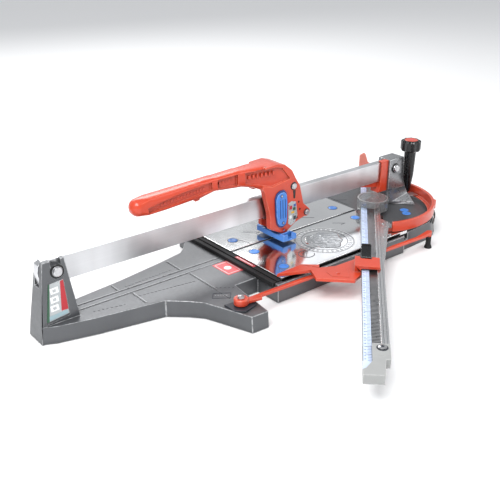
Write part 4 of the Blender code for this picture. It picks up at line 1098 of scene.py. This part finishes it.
def make_stop_details():
    """The triangular pad on the stop's arm, its rivet, and the grip lines of the lever."""
    pad = [(0.392, -0.0420), (0.438, -0.0360), (0.438, -0.0720), (0.4180, -0.0860)]
    slab("stop_pad", pad, 0.0608, 0.0618, RULER, "ruler_stop", "orange_red", 0.0004)
    upright(
        "stop_rivet", (0.4230, -0.0600), [(0.0042, 0.0616), (0.0042, 0.0626), (0.0030, 0.0632)], RULER,
        "ruler_stop", "orange_red"
    )
    slab(
        "stop_fence_edge", [(0.3860, -0.1010), (0.3985, -0.1010), (0.3905, -0.1420), (0.3890, -0.1420)],
        0.0606, 0.0614, RULER, "ruler_stop", "orange_red"
    )
    ridge = [(0.3225, -0.0115), (0.3240, -0.0115), (0.3240, 0.0075), (0.3225, 0.0075)]
    repeated(
        "lever_ridges", ridge, 0.0858, 0.0886, RULER, "stop_lever", "black_plastic", 4, (0.0030, 0, 0.0008)
    )


make_ruler_details()
make_disc_details()
make_stop_details()

# --- Knob and side arm --------------------------------------------------------------------------


def make_knob_details():
    """Flutes down the knob's sleeve and a sunk middle in its cap."""
    sleeve = ((0.0076, 0.0720), (0.0134, 0.1180), (0.0150, 0.1826))
    for i in range(12):
        angle = 2 * math.pi * i / 12
        rings = []
        for radius, z in sleeve:
            out = Vector((math.cos(angle), math.sin(angle)))
            side = Vector((-out.y, out.x)) * radius * 0.10
            base = Vector(KNOB)
            corners = [base + out * radius * 0.94 - side, base + out * radius - side * 0.6]
            corners += [base + out * radius + side * 0.6, base + out * radius * 0.94 + side]
            rings.append([(p.x, p.y, z) for p in corners])
        loft(f"sleeve_flute_{i}", rings, NOSE, "clamp_knob", "black_plastic")
    flat_band(
        "knob_collar", KNOB, 0.0178, 0.0192, 0.2100, 0.2118, NOSE, "clamp_knob", "black_plastic", steps=40
    )
    upright(
        "cap_middle", KNOB, [(0.0060, 0.2116), (0.0060, 0.2124)], NOSE, "clamp_knob", "label_pink",
        slot="orange_red"
    )


def make_arm_details():
    """The rivet on which the side arm turns."""
    upright(
        "arm_rivet", (0.3515, -0.1970), [(0.0070, 0.0600), (0.0070, 0.0612), (0.0045, 0.0624)], NOSE,
        "base", "bolt_steel"
    )


make_knob_details()
make_arm_details()


# --- Studio -------------------------------------------------------------------------------------


def add_light(name, location, target, size, power):
    lamp = bpy.data.lights.new(name, "AREA")
    lamp.shape = "RECTANGLE"
    lamp.size, lamp.size_y = size
    lamp.energy = power
    item = bpy.data.objects.new(name, lamp)
    item.location = location
    item.rotation_euler = (Vector(target) - Vector(location)).to_track_quat("-Z", "Y").to_euler()
    bpy.context.collection.objects.link(item)


def make_stage():
    mesh = bpy.data.meshes.new("floor")
    mesh.from_pydata([(-9, -9, 0), (9, -9, 0), (9, 9, 0), (-9, 9, 0)], [], [(0, 1, 2, 3)])
    floor = bpy.data.objects.new("floor", mesh)
    bpy.context.collection.objects.link(floor)
    pale = bpy.data.materials.new("pale floor")
    pale.use_nodes = True
    shader = pale.node_tree.nodes["Principled BSDF"]
    shader.inputs["Base Color"].default_value = (0.93, 0.93, 0.93, 1.0)
    shader.inputs["Roughness"].default_value = 0.75
    mesh.materials.append(pale)
    world = bpy.data.worlds.new("studio")
    world.use_nodes = True
    background = world.node_tree.nodes["Background"]
    background.inputs["Color"].default_value = (0.95, 0.97, 1.0, 1.0)
    background.inputs["Strength"].default_value = 0.62
    bpy.context.scene.world = world
    bpy.context.scene.view_settings.view_transform = "Standard"
    add_light("key", (-1.6, -1.0, 2.4), (0.0, 0.0, 0.1), (1.5, 1.5), 78.0)
    add_light("fill", (1.6, -2.0, 1.6), (0.1, 0.0, 0.1), (1.6, 1.2), 16.0)
    add_light("back", (0.6, 2.4, 2.0), (0.0, 0.0, 0.1), (2.4, 1.0), 40.0)


def make_camera():
    lens = bpy.data.cameras.new("camera")
    lens.lens = 53.75
    lens.sensor_width = 36.0
    camera = bpy.data.objects.new("camera", lens)
    camera.location = (-1.13822, -1.22497, 0.76929)
    camera.rotation_euler = Vector((0.5709, 0.7048, -0.4211)).to_track_quat("-Z", "Y").to_euler()
    bpy.context.collection.objects.link(camera)
    bpy.context.scene.camera = camera


make_stage()
make_camera()
